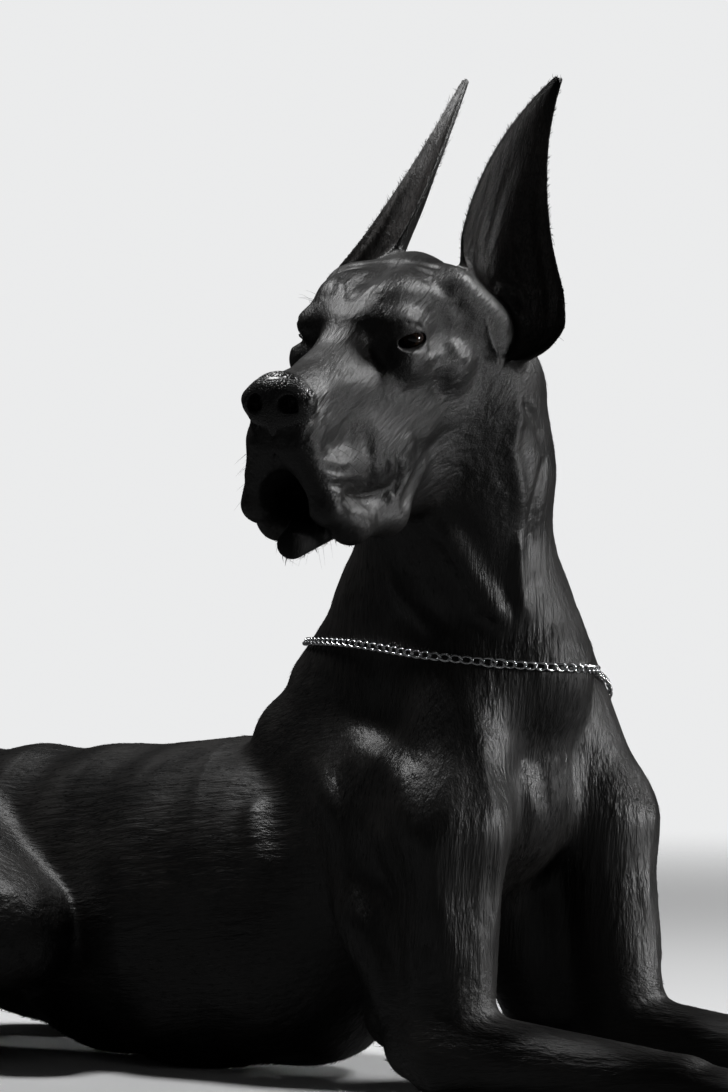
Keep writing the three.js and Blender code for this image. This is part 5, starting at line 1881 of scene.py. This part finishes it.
@dataclass
class SkinMap:
    """An unwrap of the skin's own shape, read at any point near the skin."""

    skin: Piece
    faces: int = 9000

    def __post_init__(self) -> None:
        """Unwraps a thinned copy of the skin."""
        copy = self.skin.copy()
        copy.data = self.skin.data.copy()
        bpy.context.scene.collection.objects.link(copy)
        thin = copy.modifiers.new("thin", "DECIMATE")
        thin.ratio = self.faces / len(copy.data.polygons)
        baked(copy)
        bpy.context.view_layer.objects.active = copy
        for other in bpy.context.selected_objects:
            other.select_set(False)
        copy.select_set(True)
        bpy.ops.object.mode_set(mode="EDIT")
        bpy.ops.mesh.select_all(action="SELECT")
        bpy.ops.uv.smart_project(angle_limit=math.radians(66), island_margin=0.003)
        bpy.ops.object.mode_set(mode="OBJECT")
        mesh = copy.data
        self.points = np.empty(len(mesh.vertices) * 3, np.float32)
        mesh.vertices.foreach_get("co", self.points)
        self.points = self.points.reshape(-1, 3)
        self.corners = np.array([list(face.vertices) for face in mesh.polygons])
        uv = np.empty(len(mesh.loops) * 2, np.float32)
        mesh.uv_layers.active.data.foreach_get("uv", uv)
        self.uv = uv.reshape(-1, 3, 2)
        self.search = BVHTree.FromPolygons(self.points.tolist(), self.corners.tolist())
        bpy.data.objects.remove(copy)

    def read(self, places: Array) -> Array:
        """The map's coordinates.

        Args:
            places: points in the frame's metres.

        Returns:
            Two coordinates for each.
        """
        hits = [self.search.find_nearest(Vector(place)) for place in places]
        at = np.array([hit[0] for hit in hits])
        face = np.array([hit[2] for hit in hits])
        a, b, c = (self.points[self.corners[face, k]] for k in range(3))
        u, v, w = b - a, c - a, at - a
        uu, uv, vv = (u * u).sum(1), (u * v).sum(1), (v * v).sum(1)
        wu, wv = (w * u).sum(1), (w * v).sum(1)
        area = np.maximum(uu * vv - uv * uv, 1e-18)
        s = np.clip((vv * wu - uv * wv) / area, 0, 1)[:, None]
        t = np.clip((uu * wv - uv * wu) / area, 0, 1)[:, None]
        return self.uv[face, 0] * (1 - s - t) + self.uv[face, 1] * s + self.uv[face, 2] * t


@dataclass(frozen=True)
class TuftKind:
    """One kind of tuft: how long, wide and lifted it is, and how many grow on a square centimetre."""

    name: str
    length: float
    width: float
    lift: float
    density: float
    stray: float = 0.15
    curl: float = 0.0


@dataclass
class Coat:
    """Tufts of short hair over the skin, where the coat breaks the outline or catches the light."""

    dog: DogShape
    skin: Skin
    chart: SkinMap
    patch: float = 0.003
    ridge: float = 0.2
    floor_gap: float = 0.2
    seed: int = 7

    def scatter(self, kind: TuftKind, weights: Array) -> tuple[Array, Array, Array]:
        """Roots spread over the skin.

        Args:
            kind: the kind of tuft.
            weights: how thick they grow at each of the skin's points, from 0 to 1.

        Returns:
            Roots, the way out of the skin there, and how each lie of the hair holds there.
        """
        mesh = self.skin.piece.data
        corners = np.empty(len(mesh.polygons) * 3, np.int32)
        mesh.polygons.foreach_get("vertices", corners)
        corners = corners.reshape(-1, 3)
        a, b, c = (self.skin.points[corners[:, k]] for k in range(3))
        area = norm(np.cross(b - a, c - a), axis=1) / 2
        share = area * weights[corners].mean(1) / 100 * kind.density
        random = np.random.default_rng(self.seed + sum(map(ord, kind.name)))
        count = int(share.sum())
        chosen = np.searchsorted(np.cumsum(share), random.random(count) * share.sum())
        chosen = np.minimum(chosen, len(corners) - 1)
        s, t = random.random(count), random.random(count)
        over = s + t > 1
        s, t = np.where(over, 1 - s, s)[:, None], np.where(over, 1 - t, t)[:, None]
        tri = corners[chosen]
        blend = [self.skin.points, self.skin.normals, self.skin.lie]
        root, out, lie = (v[tri[:, 0]] * (1 - s - t) + v[tri[:, 1]] * s + v[tri[:, 2]] * t for v in blend)
        return root, out / norm(out, axis=1, keepdims=True), lie

    def tufts(self, kind: TuftKind, weights: Array, material: Material) -> Piece:
        """One piece of coat.

        Args:
            kind: the kind of tuft.
            weights: how thick they grow at each of the skin's points.
            material: their material.

        Returns:
            The piece, with its map of roots.
        """
        root, out, lie = self.scatter(kind, weights)
        random = np.random.default_rng(self.seed * 3 + len(root))
        count = len(root)
        flow = lie @ np.array([unit(way.value[0]) for way in Lie])
        flow += random.normal(0, kind.stray, (count, 3))
        flow -= (flow * out).sum(1, keepdims=True) * out
        flow /= np.maximum(norm(flow, axis=1, keepdims=True), TINY)
        side = np.cross(out, flow)
        length = kind.length * random.uniform(0.6, 1.25, (count, 1))
        width = kind.width * random.uniform(0.7, 1.2, (count, 1))
        rise = kind.lift * random.uniform(0.3, 1.5, (count, 1))
        bow = side * random.normal(0, kind.curl, (count, 1)) * length
        rings = []
        for t, wide, high in ((0.0, 0.9, -0.5), (0.42, 1.0, 0.55), (1.0, 0.0, 1.0)):
            middle = root + flow * length * t + out * (high * rise * length) + bow * t * t
            if wide:
                rings += [middle + side * width * wide / 2, middle + out * width * wide * self.ridge,
                          middle - side * width * wide / 2]
            else:
                rings.append(middle)
        points = np.stack(rings, 1)
        points[..., 2] = np.maximum(points[..., 2], self.floor_gap)
        shape = np.array([(0, 1, 3), (3, 1, 4), (1, 2, 4), (4, 2, 5), (2, 0, 5),
                          (5, 0, 3), (3, 4, 6), (4, 5, 6), (5, 3, 6), (0, 2, 1)])
        faces = (shape[None] + np.arange(count)[:, None, None] * 7).reshape(-1, 3)
        piece = mesh_of(f"coat_{kind.name}", to_frame(points.reshape(-1, 3)), faces)
        put_colour(piece.data, "lie", np.repeat(lie, 7, 0))
        place = np.array([(-1, -1), (0, -0.9), (1, -1), (-1, 0), (0, 0.1), (1, 0), (0, 1)]) * self.patch / 2
        spot = (self.chart.read(to_frame(root))[:, None] + place[None]).reshape(-1, 2)
        layer = piece.data.uv_layers.new(name="OFBake")
        layer.data.foreach_set("uv", spot[faces.ravel()].astype(np.float32).ravel())
        piece.data.materials.append(material)
        wide = np.array([0.5, 0, -0.5, 0.5, 0, -0.5, 0])[None, :, None]
        normals = (out[:, None] + side[:, None] * wide).reshape(-1, 3)
        normals /= norm(normals, axis=1, keepdims=True)
        piece.data.normals_split_custom_set_from_vertices(normals.tolist())
        return piece

    def regions(self) -> Iterable[tuple[TuftKind, Array]]:
        """Each kind of tuft with where it grows."""
        p, n = self.skin.points, self.skin.normals
        q = HEAD.into(p)
        clear = 1 - np.clip((self.skin.bare[:, 0] + self.skin.bare[:, 2]) * 3, 0, 1)
        head = smooth_step(500, 560, p[:, 2]) * smooth_step(-230, -150, q[:, 0])
        ear = self.skin.lie[:, 3]
        low = smooth_step(70, 20, p[:, 2])
        foot = np.zeros(len(p))
        for _, knuckle in self.dog.foot_ends():
            foot = np.maximum(foot, smooth_step(110, 60, norm(p - knuckle, axis=1)))
        rest = (1 - head) * (1 - foot) * (1 - ear) * smooth_step(0.5, 3.0, p[:, 2])
        yield TuftKind("body", 8.5, 0.75, 0.07, 1.28), rest
        yield TuftKind("face", 3.4, 0.42, 0.06, 4.0), head * (1 - ear) * clear * smooth_step(0.0, 1.0, clear)
        yield TuftKind("feet", 3.6, 0.5, 0.07, 3.0), foot * smooth_step(0.5, 3.0, p[:, 2])
        rims = ear * smooth_step(0.2, 0.6, self.skin.ear_rim)
        yield TuftKind("ear_rims", 5.0, 0.5, 0.35, 26.0, 0.35, 0.2), rims
        hollow = self.skin.bare[:, 1] * (1 - rims)
        yield TuftKind("ear_hollow", 6.0, 0.5, 0.3, 22.0, 0.5, 0.45), hollow
        yield TuftKind("ear_back", 4.2, 0.42, 0.07, 5.0), ear * (1 - hollow) * (1 - rims)
        under = smooth_step(-0.1, -0.7, n[:, 2]) * (1 - head) * (1 - foot)
        keel = smooth_step(60, 20, np.abs(p[:, 1])) * smooth_step(40, 110, p[:, 0])
        keel = keel * smooth_step(440, 380, p[:, 2])
        tail = smooth_step(-830, -880, p[:, 0])
        thigh = smooth_step(-700, -780, p[:, 0]) * (1 - tail)
        whorl = smooth_step(75, 20, norm(p - np.array([99.0, 30.0, 322.0]), axis=1))
        fringe = np.clip(under * 0.7 + keel * 0.8 + tail * 0.5 * low + thigh * 0.5 + whorl, 0, 1) * (1 - head)
        yield TuftKind("fringe", 11.0, 0.8, 0.2, 3.2, 0.3, 0.15), fringe * smooth_step(0.5, 4.0, p[:, 2])


# Roots of the whiskers in the head's axes: for each row of the lip its height and how far out it stands,
# then x and z on the chin, x, y and z at the brow, and x and z on the cheek
LIP_ROWS = ((-76, 34), (-90, 38), (-104, 41), (-118, 43))
CHIN_SPOTS = ((118, -166), (104, -170), (90, -168))
BROW_SPOTS = ((4, 40, 34), (-3, 45, 36), (-9, 50, 34), (1, 35, 38))
CHEEK_SPOTS = ((-52, -72), (-44, -78))


@dataclass(frozen=True)
class Whisker:
    """One stiff hair: its root in the head's axes, the way it points and its length."""

    root: Point
    way: Point
    length: float


@dataclass
class Whiskers:
    """Whiskers of the muzzle, chin, cheeks and brows."""

    dog: DogShape
    chart: SkinMap
    thick: float = 0.15
    sides: int = 4
    rings: int = 6
    droop: float = 0.22
    rooted: float = 2.0
    thinning: float = 0.8
    seed: int = 5

    def all(self) -> list[Whisker]:
        """Every whisker on both sides."""
        random = np.random.default_rng(self.seed)
        made = []
        for s in SIDES:
            for row, (z, out) in enumerate(LIP_ROWS):
                for step in range(4):
                    x = 150 - 14 * step - 3 * row
                    way = (0.45 - 0.22 * step + random.normal(0, 0.08), s * (0.85 + random.normal(0, 0.06)),
                           -0.35 - 0.1 * row + random.normal(0, 0.08))
                    made.append(Whisker((x, s * out, z), way, 15 + 4 * step + random.uniform(-3, 4)))
            for x, z in CHIN_SPOTS:
                way = (0.35, s * 0.25 + random.normal(0, 0.1), -0.9)
                made.append(Whisker((x, s * 10, z), way, 17 + random.uniform(-3, 4)))
            for x, y, z in BROW_SPOTS:
                made.append(Whisker((x, s * y, z), (0.75, s * 0.35, 0.55 + random.normal(0, 0.1)), 22))
            for x, z in CHEEK_SPOTS:
                made.append(Whisker((x, s * 76, z), (0.1, s * 0.9, -0.35), 24))
        return made

    def build(self) -> Piece:
        """All the whiskers as one mesh, rooted in the skin."""
        hairs = self.all()
        roots = HEAD.out(np.array([hair.root for hair in hairs], float))
        roots, _ = self.dog.settle(roots, 6, 6.0)
        points: list[Array] = []
        faces: list[tuple[int, int, int]] = []
        for hair, root in zip(hairs, roots):
            way = unit(np.asarray(hair.way) @ HEAD.rows)
            side = unit(np.cross(way, (0, 0, 1)))
            over = np.cross(side, way)
            base = len(points)
            for i in range(self.rings):
                t = i / (self.rings - 1)
                sag = np.array([0, 0, self.droop * hair.length * t * t])
                middle = root + way * (hair.length * t - self.rooted) - sag
                r = self.thick * (1 - self.thinning * t)
                for j in range(self.sides):
                    a = 2 * math.pi * j / self.sides
                    points.append(middle + (side * math.cos(a) + over * math.sin(a)) * r)
            faces += tube(base, self.rings, self.sides, True)
            end = base + (self.rings - 1) * self.sides
            faces += [(end, end + 2, end + 1), (end, end + 3, end + 2)]
            faces += [(base, base + 1, base + 2), (base, base + 2, base + 3)]
        piece = mesh_of("whiskers", to_frame(np.array(points)), faces)
        each = len(points) // len(hairs)
        spot = np.repeat(self.chart.read(to_frame(roots)), each, 0)
        layer = piece.data.uv_layers.new(name="OFBake")
        corners = np.array(faces).ravel()
        layer.data.foreach_set("uv", spot[corners].astype(np.float32).ravel())
        put_colour(piece.data, "lie", np.tile((0.0, 0.0, 1.0, 0.0), (len(points), 1)))
        return piece


@dataclass(frozen=True)
class Softbox:
    """A square light: where it stands from the dog's breast, in the view's own directions, and how strong."""

    name: str
    right: float
    near: float
    up: float
    size: float
    power: float
    aim: Point = (0.33, -0.1, 0.5)
    spread: float = 180.0


@dataclass
class Studio:
    """A pale floor that fades into a pale room, soft lights, and the camera of the photograph's view."""

    view_turn: float = 52.0
    pitch: float = 2.36
    lens: float = 107.1
    film: float = 36.0
    stand: Point = (2.194, -2.591, 0.400)
    room: tuple[float, float, float] = (0.83, 0.835, 0.84)
    bounce: float = 0.15
    fill: float = 0.018
    floor_size: float = 14.0
    fade: tuple[float, float] = (1.6, 5.5)
    boxes: tuple[Softbox, ...] = (
        Softbox("key", 2.2, -1.0, 2.2, 0.65, 58.0),
        Softbox("right", 2.8, 0.2, 0.4, 0.6, 2.4, (0.40, 0.1, 0.12), 38.0),
        Softbox("top", -0.9, -0.4, 2.6, 0.7, 56.0),
        Softbox("front", 0.2, 2.8, 1.6, 1.4, 1.3),
    )

    @property
    def near(self) -> Array:
        """The level direction from the dog to the camera."""
        a = math.radians(self.view_turn)
        return np.array([math.cos(a), -math.sin(a), 0.0])

    @property
    def right(self) -> Array:
        """The level direction that is right in the view."""
        return np.cross((0, 0, 1), self.near)

    def build(self) -> None:
        """Sets the whole studio."""
        self.camera()
        self.floor()
        self.world()
        for box in self.boxes:
            self.light(box)

    @staticmethod
    def aimed(name: str, data: bpy.types.ID, at: Point, way: Array) -> Piece:
        """Puts a light or a camera in the scene.

        Args:
            name: the object's name.
            data: the light or the camera.
            at: where it stands.
            way: the way it looks.

        Returns:
            The object.
        """
        made = bpy.data.objects.new(name, data)
        made.location = at
        made.rotation_euler = Vector(way).to_track_quat("-Z", "Y").to_euler()
        bpy.context.scene.collection.objects.link(made)
        return made

    def camera(self) -> None:
        """The camera, level apart from its pitch."""
        camera = bpy.data.cameras.new("view")
        camera.lens = self.lens
        camera.sensor_fit = "VERTICAL"
        camera.sensor_height = self.film
        camera.clip_start, camera.clip_end = 0.05, 100.0
        tilt = math.radians(self.pitch)
        way = -self.near * math.cos(tilt) + np.array([0, 0, math.sin(tilt)])
        bpy.context.scene.camera = self.aimed("view", camera, self.stand, way)

    def light(self, box: Softbox) -> None:
        """Sets up one light.

        Args:
            box: what it is.
        """
        light = bpy.data.lights.new(box.name, "AREA")
        light.shape = "SQUARE"
        light.size, light.energy, light.spread = box.size, box.power, math.radians(box.spread)
        aim = np.array(box.aim)
        at = aim + self.right * box.right + self.near * box.near + np.array([0, 0, box.up])
        self.aimed(box.name, light, at, aim - at)

    def floor(self) -> None:
        """A floor that thins out far from the dog."""
        size = self.floor_size
        corners = [(-size, -size, 0), (size, -size, 0), (size, size, 0), (-size, size, 0)]
        floor = mesh_of("studio_floor", np.array(corners), [(0, 1, 2, 3)], False)
        material, kit, shader = new_material("studio_floor")
        seen = kit.node("ShaderNodeLightPath").outputs["Is Camera Ray"]
        tone = kit.tint(seen, [v * self.bounce for v in self.room], self.room)
        kit.fill(shader, {"Base Color": tone, "Roughness": 0.9})
        away = kit.vector("LENGTH", kit.place()).outputs["Value"]
        clear = kit.node("ShaderNodeBsdfTransparent")
        blend = kit.node("ShaderNodeMixShader", {0: kit.span(away, *self.fade), 1: shader.outputs[0],
                                                 2: clear.outputs[0]})
        output = material.node_tree.nodes["Material Output"]
        kit.tree.links.new(blend.outputs[0], output.inputs["Surface"])
        floor.data.materials.append(material)

    def world(self) -> None:
        """A pale room to look at, much dimmer where it only lights the dog."""
        world = bpy.data.worlds.new("room")
        bpy.context.scene.world = world
        world.use_nodes = True
        kit = NodeKit(world.node_tree)
        light = world.node_tree.nodes["Background"]
        light.inputs["Color"].default_value = (*self.room, 1)
        seen = kit.node("ShaderNodeLightPath").outputs["Is Camera Ray"]
        kit.tree.links.new(kit.blend(seen, self.fill, 1.0), light.inputs["Strength"])
        bpy.context.scene.view_settings.view_transform = "Standard"


def dress(piece: Piece, slot: str, *nodes: str, material: Material | None = None) -> None:
    """Hangs a piece under the root, gives it a material if one is passed, hides the CAD nodes it stands for,
    and logs its triangles. Gives a piece what the export asks for, and logs it.

    Args:
        piece: the piece.
        slot: its material slot; not used.
        nodes: the CAD nodes it stands for.
        material: its material, if it has none yet.
    """
    if material is not None:
        piece.data.materials.clear()
        piece.data.materials.append(material)
    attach(piece, "root")
    if nodes:
        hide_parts(*nodes)
    piece.data.calc_loop_triangles()
    log.info("%s: %d triangles", piece.name, len(piece.data.loop_triangles))


def main() -> None:
    """Builds the dog, its coat, its chain and the studio."""
    logging.basicConfig(level=logging.INFO, format="%(name)s: %(message)s")
    Studio().build()
    dog = DogShape()
    hair, pebbles = hair_group(), pebble_group()
    coat = CoatFinish()
    flesh = [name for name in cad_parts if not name.startswith(("eye_", "nose", "collar"))]
    skin = Skin(dog)
    dress(skin.build(), "coat", *flesh, material=coat.material(hair, pebbles))
    dress(NoseLeather(dog).build(), "nose_leather", "nose", material=LeatherFinish().material(pebbles))
    for side in SIDES:
        node = "eye_left" if side > 0 else "eye_right"
        dress(Eyes().build(side), "eye", node, material=EyeFinish().material(side))
    dress(Claws(dog).build(), "nose_leather", material=ClawFinish().material())
    dress(CollarChain(dog).build(SteelFinish().material()), "chain", "collar_chain")
    chart = SkinMap(skin.piece)
    strands = coat.strands(hair)
    dress(Whiskers(dog, chart).build(), "coat", material=strands)
    pelage = Coat(dog, skin, chart)
    for kind, weights in pelage.regions():
        dress(pelage.tufts(kind, weights, strands), "coat")


if __name__ == "__main__":
    main()
